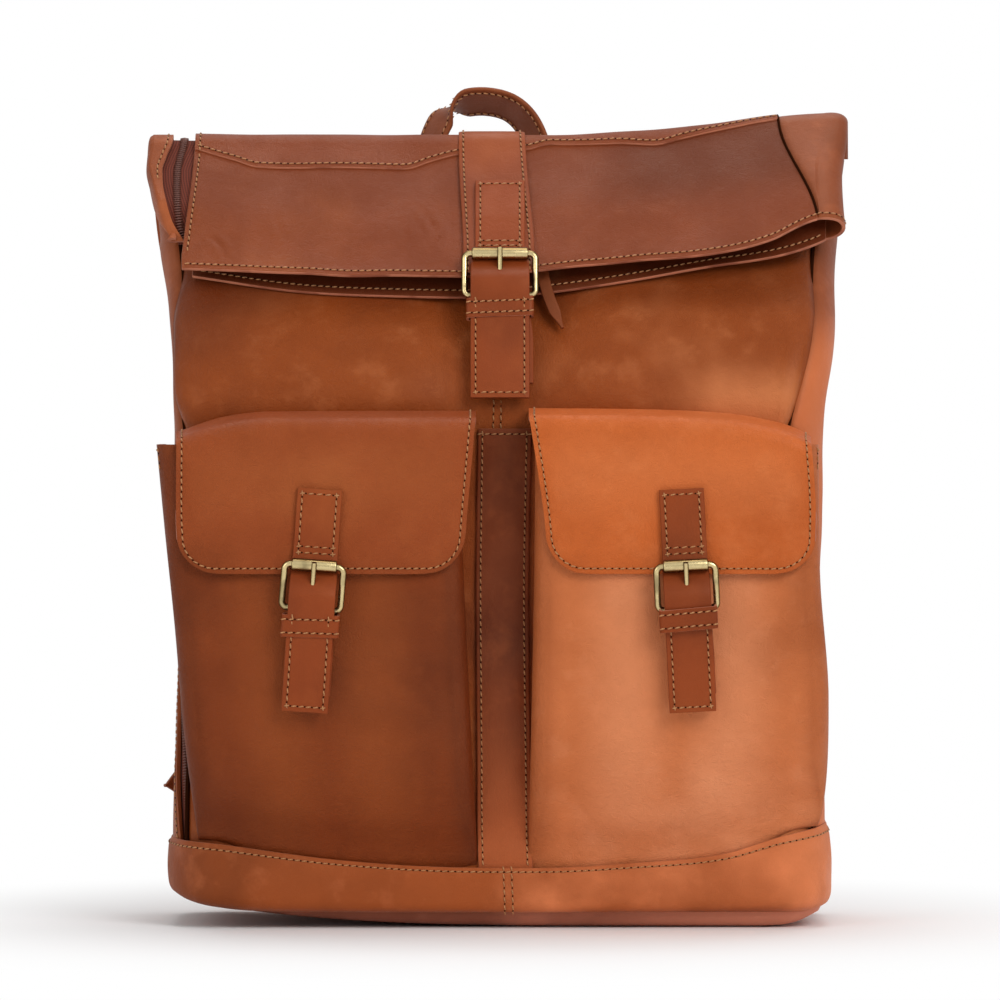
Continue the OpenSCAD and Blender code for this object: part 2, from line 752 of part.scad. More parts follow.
// Wide strap sewn down the middle of the rolled top
module closing_strap() {
    steps = [for (k = [0:4]) mix(fit, outer_len - 2, k / 4)];
    function edge(v, lift) = [
        for (s = [1, -1]) [main_x + s * overlay_w / 2, tube_d(v) + seat + lift, v]
    ];
    color(tan_leather) rolled() shell_between(
        [for (v = steps) edge(v, leather)],
        [for (v = steps) edge(v, 0)]
    );
}

// The strap's roller lies where the overlay passes the height main_z
overlay_top = seat + leather;
function roller_v(offset) = (offset * sin(roll_tilt) + main_drop) / cos(roll_tilt);
main_off = tube_d(70) + overlay_top + seat + strap_t + roller_r + 4 * fit;
main_z = fold_z - main_drop;
main_y = fold_y - roller_v(main_off) * sin(roll_tilt) - main_off * cos(roll_tilt);
main_lean = asin((main_y + stud_room - front_y(main_z - stud_reach - snap_d / 2)) / stud_reach);

// One stud per strap, sewn on the skin behind its snap
module stud() {
    translate([0, stud_gap, -stud_reach]) rotate([-90, 0, 0])
        cylinder(d = snap_d - 2, h = stud_t, $fn = round_fn);
}

module snap_studs() {
    color(antique_brass) {
        for (side = [-1, 1]) place_pocket(side) stud();
        place_main() stud();
    }
}

module main_billet_patch() {
    v1 = roller_v(main_off) - 4;
    v0 = v1 - patch_len;
    function edge(v, lift) = [
        for (s = [1, -1]) [main_x + s * (main_w / 2 - 1), tube_d(v) + overlay_top + seat + lift, v]
    ];
    steps = [for (k = [0:3]) mix(v0, v1, k / 3)];
    color(strap_leather) rolled() shell_between(
        [for (v = steps) edge(v, strap_t)],
        [for (v = steps) edge(v, 0)]
    );
}

// Mouth zip: a tape with its row of coil inside each mouth panel
mouth_tape_w = 14;
mouth_tape_drop = 10;
mouth_zip_half = roll_w / 2 - 28;
module mouth_zip() {
    v1 = outer_len - mouth_tape_drop;
    v0 = v1 - mouth_tape_w;
    function edge(y0, v) = [for (s = [1, -1]) [s * mouth_zip_half, y0, v]];
    color(zip_brown) rolled() {
        for (wall = [0, 1]) {
            y0 = wall == 0 ? leather + seat : tube_d(v0) - leather - seat - tape_t;
            y1 = wall == 0 ? leather + seat : tube_d(v1) - leather - seat - tape_t;
            hull() {
                translate([-mouth_zip_half, y0, v0]) cube([2 * mouth_zip_half, tape_t, 0.1]);
                translate([-mouth_zip_half, y1, v1 - 0.1]) cube([2 * mouth_zip_half, tape_t, 0.1]);
            }
            y2 = wall == 0 ? y1 + tape_t : y1 - coil_t;
            translate([-mouth_zip_half, y2, v1 - 3.2]) cube([2 * mouth_zip_half, coil_t, 3]);
        }
    }
}

slider_l = 11;
slider_w = 8;
mouth_mid = (tube_d(outer_len - mouth_tape_drop)) / 2;
module mouth_zip_slider() {
    t = tube_d(outer_len - mouth_tape_drop) - 2 * (leather + seat + tape_t + coil_t) - 2 * fit;
    color(antique_brass) rolled()
        translate([mouth_slider_x - slider_l / 2, mouth_mid - t / 2, outer_len - mouth_tape_drop - slider_w + 1])
            cube([slider_l, t, slider_w]);
}

mouth_pull_l = 42;
mouth_pull_lean = 10; // how much nearer to upright the pull hangs than the tube
mouth_pull_w = 9;
module mouth_zip_pull() {
    color(strap_leather) rolled()
        translate([mouth_slider_x, mouth_mid, outer_len - mouth_tape_drop + 1 + fit])
            rotate([mouth_pull_lean, 0, 0]) translate([-mouth_pull_w / 2, -1.1, 0])
                cube([mouth_pull_w, 2.2, mouth_pull_l]);
}

// ---------------------------------------------------------------- side zip slider

// The slider rides along the gusset's face, parallel to the zip
side_slope = atan(zip_rate);
side_slider_y = (front_y(0) + back_y(0)) / 2 - zip_s(side_slider_z);
slider_t = 4;
module on_side_zip() {
    translate([-body_w / 2, side_slider_y, side_slider_z]) rotate([-side_slope, 0, 0]) children();
}

module side_zip_slider() {
    color(antique_brass) on_side_zip()
        translate([-slider_t - fit, -slider_w / 2, 0])
            cube([slider_t - coil_off - coil_t, slider_w, slider_l]);
}

side_pull_l = 42;
module side_zip_pull() {
    color(strap_leather) on_side_zip()
        translate([-slider_t - fit, -mouth_pull_w / 2, -side_pull_l - fit])
            cube([2.2, mouth_pull_w, side_pull_l]);
}

// ---------------------------------------------------------------- handle and shoulder straps

// A band along a path: at each point its middle, its half-width direction and its
// half-thickness direction
module band(frames) {
    shell_between(
        [for (f = frames) [f[0] - f[1] + f[2], f[0] + f[1] + f[2]]],
        [for (f = frames) [f[0] - f[1] - f[2], f[0] + f[1] - f[2]]]
    );
}

function unit(v) = v / norm(v);

handle_t = 3.4;
handle_foot = yoke_lo + 18;
handle_crest = fold_z + handle_rise - handle_t / 2;
function handle_seat(z) = back_y(z) + leather + 2 * seat + handle_t / 2 + 0.3;
handle_y = handle_seat(yoke_hi);
handle_back = handle_w / 2 + 5; // the arch leans back, clear of the unrolled mouth

// Half of the handle, from its sewn foot (t = 0) to its crest (t = 1)
handle_line = [
    [handle_reach, handle_seat(handle_foot), handle_foot],
    [handle_reach, handle_seat(handle_foot + 12), handle_foot + 12],
    [handle_reach, handle_seat(yoke_hi - 6), yoke_hi - 6],
    [handle_reach, handle_y + handle_back * 0.2, yoke_hi + 6],
    [handle_reach * 0.97, handle_y + handle_back * 0.55, mix(yoke_hi, handle_crest, 0.4)],
    [handle_reach * 0.88, handle_y + handle_back * 0.78, mix(yoke_hi, handle_crest, 0.62)],
    [handle_reach * 0.68, handle_y + handle_back * 0.93, mix(yoke_hi, handle_crest, 0.83)],
    [handle_reach * 0.36, handle_y + handle_back, mix(yoke_hi, handle_crest, 0.96)],
    [0, handle_y + handle_back, handle_crest]
];

module carry_handle() {
    n = len(handle_line);
    function spot(k) = k < n ? handle_line[k] :
        [-handle_line[2 * n - 2 - k][0], handle_line[2 * n - 2 - k][1], handle_line[2 * n - 2 - k][2]];
    function frame_at(k) =
        let (
            last = 2 * n - 2,
            along = unit(spot(min(last, k + 1)) - spot(max(0, k - 1))),
            twist = 90 * smooth((min(k, last - k) - 2) / 5),
            want = [(k < n ? 1 : -1) * cos(twist), sin(twist), 0],
            wide = unit(want - along * (want * along))
        )
        [spot(k), wide * handle_w / 2, cross(along, wide) * handle_t / 2];
    color(strap_leather) band([for (k = [0:2 * n - 2]) frame_at(k)]);
}

// Shoulder strap, drawn for the right side: it hangs from the yoke in a bow behind the
// back panel and ends at the leather tab low on the side
tab_t = 3;
pad_share = 0.6;
pad_thin = 0.7;
pad_gap = 1.8; // under the pad's leaning top end
top_anchor = [48, back_y(yoke_lo + 8) + leather + pad_gap + pad_t * pad_thin / 2, yoke_lo + 8];
tab_anchor = [body_w / 2 - 14, body_d / 2 + 2 * seat + tab_t + 2 * fit + web_t / 2, 74];
strap_bow = 32;
bow_end = 0.93;
function bow(t) = mix(top_anchor, tab_anchor, t)
    + [-10 * sin(180 * t), strap_bow * sin(180 * min(t / bow_end, 1)), 0];
function bow_frame(t, w, d) =
    let (
        along = unit(bow(min(1, t + 0.01)) - bow(max(0, t - 0.01))),
        out = [0, 1, 0],
        wide = unit(cross(along, out)),
        thick = cross(wide, along)
    )
    [bow(t), wide * w / 2, thick * d / 2];

module shoulder_pad() {
    function pad_width(t) = pad_w * (0.55 + 0.45 * smooth(t / 0.25)) * (1 - 0.3 * smooth((t - 0.7) / 0.3));
    color(tan_leather) band([for (k = [0:14])
        let (t = k / 14) bow_frame(t * pad_share, pad_width(t), pad_t * (pad_thin + (1 - pad_thin) * sin(180 * t)))]);
}

module lower_strap() {
    color(strap_leather) band([for (k = [0:10])
        bow_frame(mix(pad_share + 0.0015, 1, k / 10), web_w, web_t)]);
}

// Adjuster: a flat metal loop round the lower strap, just below the pad
adjuster_t = pad_share + 0.1;
module adjuster() {
    f = bow_frame(adjuster_t, 2, 2);
    z_axis = unit(f[2]);
    x_axis = unit(f[1]);
    y_axis = cross(z_axis, x_axis);
    m = [for (i = [0:2]) [x_axis[i], y_axis[i], z_axis[i], f[0][i]]];
    inner_w = web_w + 2;
    inner_t = web_t + 3.2;
    color(antique_brass) multmatrix(concat(m, [[0, 0, 0, 1]])) difference() {
        cube([inner_w + 6, 12, inner_t + 4], center = true);
        cube([inner_w, 20, inner_t], center = true);
    }
}

// Leather wedge sewn into the side seam, carrying the lower strap
module strap_tab() {
    color(strap_leather)
        translate([0, body_d / 2 + seat + tab_t, 0]) rotate([90, 0, 0]) linear_extrude(tab_t)
            polygon([[body_w / 2 - 40, 52], [body_w / 2 + 4, 64], [body_w / 2 + 9, 74],
                     [body_w / 2 - 2, 88], [body_w / 2 - 40, 84]]);
}

module strap_tabs() {
    for (side = [0, 1]) mirror([side, 0, 0]) strap_tab();
}

// ---------------------------------------------------------------- nodes

module mirrored(side) {
    if (side < 0) mirror([1, 0, 0]) children();
    else children();
}

front_panel();
front_placket();
left_gusset_front();
left_gusset_back();
right_gusset();
back_panel();
bottom_panel();
base_band();
bottom_board();
main_lining();
side_zip();
snap_studs();
back_yoke();
strap_tabs();
fold_bend();
roll_outer_panel();
roll_inner_panel();
roll_left_gusset();
roll_right_gusset();
roll_side_zip();
closing_strap();
mouth_zip();
mouth_zip_slider();
mouth_zip_pull();
side_zip_slider();
side_zip_pull();
carry_handle();
main_billet_patch();
place_main() billet(main_w, main_tail);  // main_billet
place_main() buckle_frame(main_w);  // main_buckle_frame
place_main() buckle_roller(main_w);  // main_buckle_roller
place_main() buckle_tongue();  // main_buckle_tongue
place_main() buckle_strap(main_w, main_tail);  // main_buckle_strap
place_main() keeper(main_w);  // main_keeper

for (half = [["left", -1], ["right", 1]]) {
    name = half[0];
    side = half[1];
    mirrored(side) pocket();
    mirrored(side) flap();
    pocket_patch(side);
    place_pocket(side) billet(pocket_w, pocket_tail);
    place_pocket(side) buckle_frame(pocket_w);
    place_pocket(side) buckle_roller(pocket_w);
    place_pocket(side) buckle_tongue();
    place_pocket(side) buckle_strap(pocket_w, pocket_tail);
    place_pocket(side) keeper(pocket_w);
    mirrored(side) shoulder_pad();
    mirrored(side) lower_strap();
    mirrored(side) adjuster();
}
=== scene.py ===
"""Roll-top leather backpack: the visible model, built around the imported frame.

Sizes inside the classes are in millimetres, because that is how leather is cut. They
become metres when a mesh is made. Every outline is laid out on the view plane, at
VIEW_DEPTH in front of the bag's middle, and LAYOUT.place() carries it to its own depth.
"""

import logging
import math
from dataclasses import dataclass, field
from enum import Enum
from typing import Callable, Optional, Sequence

import bmesh
import bpy
import numpy as np
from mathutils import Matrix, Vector


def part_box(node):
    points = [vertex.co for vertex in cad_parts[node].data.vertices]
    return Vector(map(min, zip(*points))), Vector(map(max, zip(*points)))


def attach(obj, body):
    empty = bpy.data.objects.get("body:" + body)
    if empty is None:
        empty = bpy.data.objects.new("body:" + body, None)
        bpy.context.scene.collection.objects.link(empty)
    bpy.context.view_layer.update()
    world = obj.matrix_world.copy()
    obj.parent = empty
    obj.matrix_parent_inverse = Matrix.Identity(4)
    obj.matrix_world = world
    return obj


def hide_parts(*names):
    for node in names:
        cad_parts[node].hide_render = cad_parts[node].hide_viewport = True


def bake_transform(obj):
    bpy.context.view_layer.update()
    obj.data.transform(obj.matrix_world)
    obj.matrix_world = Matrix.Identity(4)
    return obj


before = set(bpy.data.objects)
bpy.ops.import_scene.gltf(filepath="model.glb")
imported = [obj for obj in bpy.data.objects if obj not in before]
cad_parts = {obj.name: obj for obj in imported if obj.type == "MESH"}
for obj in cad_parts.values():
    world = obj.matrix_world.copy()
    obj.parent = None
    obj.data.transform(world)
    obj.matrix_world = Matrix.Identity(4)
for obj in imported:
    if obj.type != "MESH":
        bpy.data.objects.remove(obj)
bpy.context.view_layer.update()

logging.basicConfig(level=logging.INFO, format="%(name)s: %(message)s")
log = logging.getLogger("backpack")

Array = np.ndarray
Piece = bpy.types.Object
Material = bpy.types.Material
Node = bpy.types.Node
Socket = bpy.types.NodeSocket
Rgb = tuple[int, int, int]
MM = 0.001


# ---- numbers and curves


def smooth(t: Array | float) -> Array | float:
    """Smooth step from 0 to 1."""
    c = np.clip(t, 0.0, 1.0)
    return c * c * (3.0 - 2.0 * c)


def bell(t: Array | float, width: float) -> Array | float:
    """A soft bump of height 1 at t = 0."""
    return np.exp(-((t / width) ** 2))


def unit(v: Array) -> Array:
    """Vectors of length 1 in the same directions."""
    return v / np.maximum(np.linalg.norm(v, axis=-1, keepdims=True), 1e-9)


class Profile:
    """A smooth curve through given points, flat outside them."""

    def __init__(self, *points: tuple[float, float]) -> None:
        """Args:
            points: (position, value) pairs in order of position.
        """
        self.x = np.array([p[0] for p in points], float)
        self.y = np.array([p[1] for p in points], float)
        slope = np.diff(self.y) / np.diff(self.x)
        mid = np.zeros(len(self.x))
        same = slope[:-1] * slope[1:] > 0
        mid[1:-1] = np.where(same, 0.5 * (slope[:-1] + slope[1:]), 0.0)
        mid[0], mid[-1] = slope[0], slope[-1]
        limit = 3.0 * np.minimum(
            np.abs(np.append(slope, slope[-1])), np.abs(np.insert(slope, 0, slope[0]))
        )
        self.m = np.clip(mid, -limit, limit)

    def __call__(self, x: Array | float) -> Array | float:
        """Value of the curve at x."""
        q = np.clip(x, self.x[0], self.x[-1])
        i = np.clip(np.searchsorted(self.x, q, side="right") - 1, 0, len(self.x) - 2)
        h = self.x[i + 1] - self.x[i]
        t = (q - self.x[i]) / h
        return (
            (1 + 2 * t) * (1 - t) ** 2 * self.y[i]
            + t * (1 - t) ** 2 * h * self.m[i]
            + t * t * (3 - 2 * t) * self.y[i + 1]
            + t * t * (t - 1) * h * self.m[i + 1]
        )


class Ripple:
    """A smooth field of soft waves, the same on every run, for leather that isn't flat."""

    def __init__(self, seed: int, length: float, count: int = 9) -> None:
        """Args:
            seed: fixed seed of the waves.
            length: usual wave length in millimetres.
            count: how many waves are added up.
        """
        rng = np.random.default_rng(seed)
        way = unit(rng.normal(size=(count, 3)))
        self.k = way * (2 * math.pi / (length * rng.uniform(0.7, 1.6, count)))[:, None]
        self.phase = rng.uniform(0, 2 * math.pi, count)
        self.count = count

    def __call__(self, p: Array) -> Array:
        """Height of the waves, about -1 to 1, at points p of shape (..., 3)."""
        return np.sin(p @ self.k.T + self.phase).sum(axis=-1) / math.sqrt(self.count)


def run_of(points: Array) -> Array:
    """Distance along a polyline at each of its points."""
    return np.concatenate([[0], np.cumsum(np.linalg.norm(np.diff(points, axis=0), axis=1))])


def sampled(at: Array, run: Array, values: Array) -> Array:
    """Rows of values, known at the distances run, at the distances at."""
    return np.stack([np.interp(at, run, values[:, k]) for k in range(values.shape[1])], axis=-1)


def resample(points: Array, step: float) -> Array:
    """Points of a polyline again, at an even distance from each other.

    Args:
        points: the polyline, one point a row.
        step: wanted distance between points.

    Returns:
        The new points, first and last kept.
    """
    points = np.asarray(points, float)
    run = run_of(points)
    return sampled(np.linspace(0, run[-1], max(2, int(round(run[-1] / step)) + 1)), run, points)


def rounded(points: Sequence[Sequence[float]], step: float = 1.0, passes: int = 3) -> Array:
    """A polyline with its corners eased.

    Args:
        points: corner points.
        step: distance between the points of the result.
        passes: how often the corners are cut, which sets how soft they are.

    Returns:
        The eased polyline.
    """
    p = np.asarray(points, float)
    for _ in range(passes):
        a = 0.75 * p[:-1] + 0.25 * p[1:]
        b = 0.25 * p[:-1] + 0.75 * p[1:]
        mid = np.stack([a, b], axis=1).reshape(-1, p.shape[1])
        p = np.concatenate([p[:1], mid[1:-1], p[-1:]])
    return resample(p, step)


def turned(p: Array, axis: str, degrees: float) -> Array:
    """Points turned about one axis through the origin.

    Args:
        p: points of shape (..., 3).
        axis: "x", "y" or "z".
        degrees: angle by the right-hand rule.

    Returns:
        The turned points.
    """
    c, s = math.cos(math.radians(degrees)), math.sin(math.radians(degrees))
    m = {
        "x": [[1, 0, 0], [0, c, -s], [0, s, c]],
        "y": [[c, 0, s], [0, 1, 0], [-s, 0, c]],
        "z": [[c, -s, 0], [s, c, 0], [0, 0, 1]],
    }[axis]
    return p @ np.array(m).T


# ---- shared layout


@dataclass(frozen=True)
class Layout:
    """Sizes of the bag that several pieces share, in millimetres."""

    view_far: float = 3000.0
    view_plane: float = -70.0
    eye_height: float = 232.0
    low_depth: float = -55.0
    side_depth: float = -40.0
    fold_y: float = 20.0
    fold_z: float = 416.0
    neck: float = 12.0
    body_half_depth: float = 62.0
    corner: float = 26.0
    front_bend: tuple[float, float] = (270.0, 330.0)
    back_bend: tuple[float, float] = (290.0, 360.0)

    def place(self, p: Array) -> Array:
        """Points laid out on the view plane, carried to their own depth y."""
        q = np.array(p, float)
        f = (self.view_far + q[..., 1] - self.view_plane) / self.view_far
        low = np.minimum(f, (self.view_far + self.low_depth - self.view_plane) / self.view_far)
        held = np.minimum(q[..., 1], self.side_depth)
        depth = held + (q[..., 1] - held) * smooth((q[..., 2] - 335) / 50)
        q[..., 0] *= (self.view_far + depth - self.view_plane) / self.view_far
        up = q[..., 2] - self.eye_height
        q[..., 2] = self.eye_height + up * np.where(up > 0, f, low)
        return q

    def lean(self, z: Array, bend: tuple[float, float], slope: float) -> Array:
        """How far a wall has leaned at height z, when it bends between two heights."""
        lo, hi = bend
        soft = slope * np.clip(z - lo, 0, None) ** 2 / (2 * (hi - lo))
        return np.where(z < hi, soft, slope * (z - (lo + hi) / 2))

    def front(self, z: Array) -> Array:
        """Depth of the front wall at height z."""
        lo, hi = self.front_bend
        slope = (self.fold_y + self.body_half_depth) / (self.fold_z - (lo + hi) / 2)
        return -self.body_half_depth + self.lean(z, self.front_bend, slope)

    def back(self, z: Array) -> Array:
        """Depth of the back wall at height z."""
        lo, hi = self.back_bend
        slope = (self.body_half_depth - self.fold_y - self.neck) / (self.fold_z - (lo + hi) / 2)
        return self.body_half_depth - self.lean(z, self.back_bend, slope)


LAYOUT = Layout()

LEFT_HALF = Profile(
    (14, 176), (50, 177), (100, 175.5), (170, 174.5), (269, 176), (290, 176.8),
    (313, 178.4), (334, 181.4), (360, 184.2), (372, 185.2), (394, 187), (416, 188),
)
RIGHT_HALF = Profile(
    (14, 178), (60, 176), (124, 173), (178, 171.7), (265, 175.5), (286, 177),
    (313, 180), (367, 182), (400, 184), (416, 186),
)
LEFT_SEAM = Profile((14, 7.5), (269, 7.44), (296, 7.33), (326, 7.42), (355, 7.64), (416, 7.6))
RIGHT_SEAM = Profile((14, 1.5), (255, 1.3), (268, 1.15), (295, 1.25), (331, 1.32), (365, 1.34), (416, 1.4))
BAND_TOP = Profile(
    (-182, 50), (-150, 46), (-90, 38), (-20, 33.6), (20, 33.4), (70, 36), (120, 41),
    (150, 50), (182, 59),
)
FOOT_LIFT = Profile((-186, 16), (-180, 11), (-165, 4.8), (-150, 2), (-132, 0.4), (-100, 0), (150, 0),
                    (172, 1), (184, 3))
SOLE_LIFT = Profile((-182, 17), (-133, 8.6), (-110, 5.5), (-93, 3.9), (-55, 1.6), (0, 0.3), (40, 0),
                    (140, 0),
                    (165, 2.5), (182, 7))


def ring(u: Array, z: Array, off: Array | float = 0.0) -> Array:
    """Points of the bag's skin.

    Args:
        u: place round the bag, 0 to 8 from the front left corner, anticlockwise
            seen from above: front, corner, right side, corner, back and so on.
        z: height of each point.
        off: distance outside the skin.

    Returns:
        Points of shape (..., 3).
    """
    u, z = np.broadcast_arrays(np.asarray(u, float) % 8.0, np.asarray(z, float))
    off = np.broadcast_to(np.asarray(off, float), u.shape)
    yf, yb = LAYOUT.front(z) - off, LAYOUT.back(z) + off
    r = np.minimum(LAYOUT.corner, (LAYOUT.back(z) - LAYOUT.front(z)) / 2 - 0.6) + off
    al, ar = LEFT_HALF(z) + off, RIGHT_HALF(z) + off
    k = np.floor(u).astype(int)
    t = u - k
    arc = np.radians(90 * t)
    s, c = np.sin(arc), np.cos(arc)
    xl, xr = -al + r, ar - r
    y0, y1 = yf + r, yb - r
    x = np.choose(k, [xl + (xr - xl) * t, xr + r * s, ar, xr + r * c,
                      xr + (xl - xr) * t, xl - r * s, -al, xl - r * c])
    y = np.choose(k, [yf, y0 - r * c, y0 + (y1 - y0) * t, y1 + r * s,
                      yb, y1 + r * c, y1 + (y0 - y1) * t, y0 - r * s])
    return np.stack([x, y, z], axis=-1)


# ---- meshes


def new_piece(name: str, data: bpy.types.ID) -> Piece:
    """An object for some data, linked to the scene."""
    obj = bpy.data.objects.new(name, data)
    bpy.context.scene.collection.objects.link(obj)
    return obj


def grid_mesh(name: str, grid: Array, closed: bool = False) -> Piece:
    """A smooth-shaded mesh from a grid of points in millimetres, with a UV map in metres.

    Args:
        name: name of the piece.
        grid: points of shape (rows, columns, 3).
        closed: whether the last column joins the first.

    Returns:
        The new object, at the origin.
    """
    rows, cols = grid.shape[:2]
    index = np.arange(rows * cols).reshape(rows, cols)
    nxt = np.roll(index, -1, axis=1) if closed else index[:, 1:]
    cur = index if closed else index[:, :-1]
    faces = np.stack([cur[:-1], nxt[:-1], nxt[1:], cur[1:]], axis=-1).reshape(-1, 4)
    mesh = bpy.data.meshes.new(name)
    mesh.from_pydata((grid.reshape(-1, 3) * MM).tolist(), [], faces.tolist())
    steps_u, steps_v = (np.linalg.norm(np.diff(grid, axis=k), axis=2) for k in (1, 0))
    run_u = np.pad(np.cumsum(steps_u, axis=1), ((0, 0), (1, 0)))
    run_v = np.pad(np.cumsum(steps_v, axis=0), ((1, 0), (0, 0)))
    uv = np.stack([run_u, run_v], axis=-1).reshape(-1, 2) * MM
    layer = mesh.uv_layers.new(name="UVMap")
    loops = np.empty(len(mesh.loops), dtype=np.int32)
    mesh.loops.foreach_get("vertex_index", loops)
    layer.data.foreach_set("uv", uv[loops].ravel())
    mesh.polygons.foreach_set("use_smooth", np.ones(len(mesh.polygons), dtype=bool))
    return new_piece(name, mesh)


def thicken(obj: Piece, thickness: float, edge: Optional[Material] = None,
            round_edge: float = 0.5) -> Piece:
    """Gives a skin its leather thickness, inwards, and rounds its cut edge.

    Args:
        obj: the skin.
        thickness: in millimetres.
        edge: material of the cut edge, if it differs.
        round_edge: radius of the edge in millimetres, or 0.

    Returns:
        The same object.
    """
    solid = obj.modifiers.new("leather", "SOLIDIFY")
    solid.thickness = thickness * MM
    solid.offset = -1.0
    solid.use_even_offset = False
    if edge is not None:
        obj.data.materials.append(edge)
        solid.material_offset_rim = len(obj.data.materials) - 1
    if round_edge:
        bevel = obj.modifiers.new("edge", "BEVEL")
        bevel.width = round_edge * MM
        bevel.segments = 2
        bevel.limit_method = "ANGLE"
        bevel.angle_limit = math.radians(55)
        bevel.use_clamp_overlap = True
    return obj


def joined(name: str, parts: Sequence[Piece]) -> Piece:
    """Several meshes made one, their materials kept.

    Args:
        name: name of the result.
        parts: the objects, which are used up.

    Returns:
        The joined object.
    """
    for part in bpy.context.selected_objects:
        part.select_set(False)
    for part in parts:
        part.select_set(True)
    bpy.context.view_layer.objects.active = parts[0]
    bpy.ops.object.join()
    parts[0].name = name
    parts[0].data.name = name
    return parts[0]


# ---- shader groups


def linear(rgb: Rgb) -> tuple[float, float, float, float]:
    """A colour as 0-255 screen values, made linear."""
    out = []
    for c in rgb:
        v = c / 255.0
        out.append(v / 12.92 if v <= 0.04045 else ((v + 0.055) / 1.055) ** 2.4)
    return (out[0], out[1], out[2], 1.0)


class Nodes:
    """Short ways to add and link shader or geometry nodes."""

    def __init__(self, tree: bpy.types.NodeTree) -> None:
        """Args:
            tree: the tree that is built.
        """
        self.tree = tree

    def add(self, kind: str, **values: object) -> Node:
        """A node of a kind, with its plain properties set.

        Args:
            kind: Blender's name of the node type.
            values: property names and values.

        Returns:
            The node.
        """
        node = self.tree.nodes.new(kind)
        for key, value in values.items():
            setattr(node, key, value)
        return node

    def link(self, source: Socket, target: Socket) -> None:
        """Joins two sockets."""
        self.tree.links.new(source, target)

    def feed(self, value: object, target: Socket) -> None:
        """Gives a socket a link or a constant."""
        if isinstance(value, Socket):
            self.link(value, target)
        else:
            target.default_value = value

    def fill(self, node: Node, values: dict[str, object]) -> None:
        """Feeds several inputs of a node, by their names."""
        for label, value in values.items():
            self.feed(value, node.inputs[label])

    def bump(self, shader: Node, height: Socket, strength: float, distance: float) -> None:
        """Raises a shader's surface by a height, with a distance in metres."""
        node = self.add("ShaderNodeBump")
        self.fill(node, {"Strength": strength, "Distance": distance, "Height": height})
        self.link(node.outputs[0], shader.inputs["Normal"])

    def math(self, op: str, a: object, b: object = 0.0) -> Socket:
        """The result of a Math node on two values or sockets."""
        node = self.add("ShaderNodeMath", operation=op)
        self.feed(a, node.inputs[0])
        self.feed(b, node.inputs[1])
        return node.outputs[0]

    def noise(self, where: Socket, scale: object, detail: float = 2.0,
              rough: float = 0.5, warp: float = 0.0) -> Socket:
        """The value of a Noise Texture."""
        node = self.add("ShaderNodeTexNoise")
        self.fill(node, {"Vector": where, "Scale": scale, "Detail": detail, "Roughness": rough,
                         "Distortion": warp})
        return node.outputs["Fac"]

    def ramp(self, value: Socket, lo: object, hi: object, low: object = 0.0,
             high: object = 1.0) -> Socket:
        """A value mapped from one range to another and held inside it."""
        node = self.add("ShaderNodeMapRange", interpolation_type="SMOOTHSTEP")
        self.fill(node, {"Value": value, "From Min": lo, "From Max": hi, "To Min": low, "To Max": high})
        return node.outputs["Result"]

    def mix(self, fac: object, a: object, b: object, how: str = "MIX") -> Socket:
        """The colour of a Mix node."""
        node = self.add("ShaderNodeMix", data_type="RGBA", blend_type=how)
        self.fill(node, {"Factor": fac, "A": a, "B": b})
        return node.outputs["Result"]


def shader_group(name: str, ins: Sequence[tuple[str, str, object]],
                 outs: Sequence[tuple[str, str]]) -> tuple[bpy.types.NodeTree, Nodes, Node, Node]:
    """A new shader node group with named sockets.

    Args:
        name: name of the group.
        ins: (name, socket type, default) of each input.
        outs: (name, socket type) of each output.

    Returns:
        The tree, its helper, its input node and its output node.
    """
    tree = bpy.data.node_groups.new(name, "ShaderNodeTree")
    for label, kind, default in ins:
        socket = tree.interface.new_socket(label, in_out="INPUT", socket_type=kind)
        if default is not None:
            socket.default_value = default
    for label, kind in outs:
        tree.interface.new_socket(label, in_out="OUTPUT", socket_type=kind)
    n = Nodes(tree)
    return tree, n, n.add("NodeGroupInput"), n.add("NodeGroupOutput")


def make_grain_group() -> bpy.types.NodeTree:
    """Leather grain: pores and fine creases as a height, and a mottle mask."""
    tree, n, gin, gout = shader_group(
        "Leather grain",
        [("Vector", "NodeSocketVector", None), ("Pore scale", "NodeSocketFloat", 900.0),
         ("Crease", "NodeSocketFloat", 0.5)],
        [("Height", "NodeSocketFloat"), ("Mottle", "NodeSocketFloat")],
    )
    where = gin.outputs["Vector"]
    warp = n.noise(where, 160.0, 2.0)
    shift = n.add("ShaderNodeVectorMath", operation="MULTIPLY_ADD")
    n.link(warp, shift.inputs[0])
    shift.inputs[1].default_value = (0.0016, 0.0016, 0.0016)
    n.link(where, shift.inputs[2])
    cells = n.add("ShaderNodeTexVoronoi", feature="DISTANCE_TO_EDGE")
    n.link(shift.outputs[0], cells.inputs["Vector"])
    n.link(gin.outputs["Pore scale"], cells.inputs["Scale"])
    pores = n.ramp(cells.outputs["Distance"], 0.0, 0.16)
    creases = n.ramp(n.noise(where, 210.0, 6.0, 0.62, 0.8), 0.44, 0.56)
    soft = n.noise(where, 42.0, 3.0)
    height = n.math("ADD", n.math("MULTIPLY", pores, 0.45),
                    n.math("MULTIPLY", creases, gin.outputs["Crease"]))
    height = n.math("ADD", height, n.math("MULTIPLY", soft, 0.9))
    n.link(height, gout.inputs["Height"])
    n.link(n.ramp(n.noise(where, 26.0, 5.0, 0.6, 0.4), 0.34, 0.68), gout.inputs["Mottle"])
    return tree


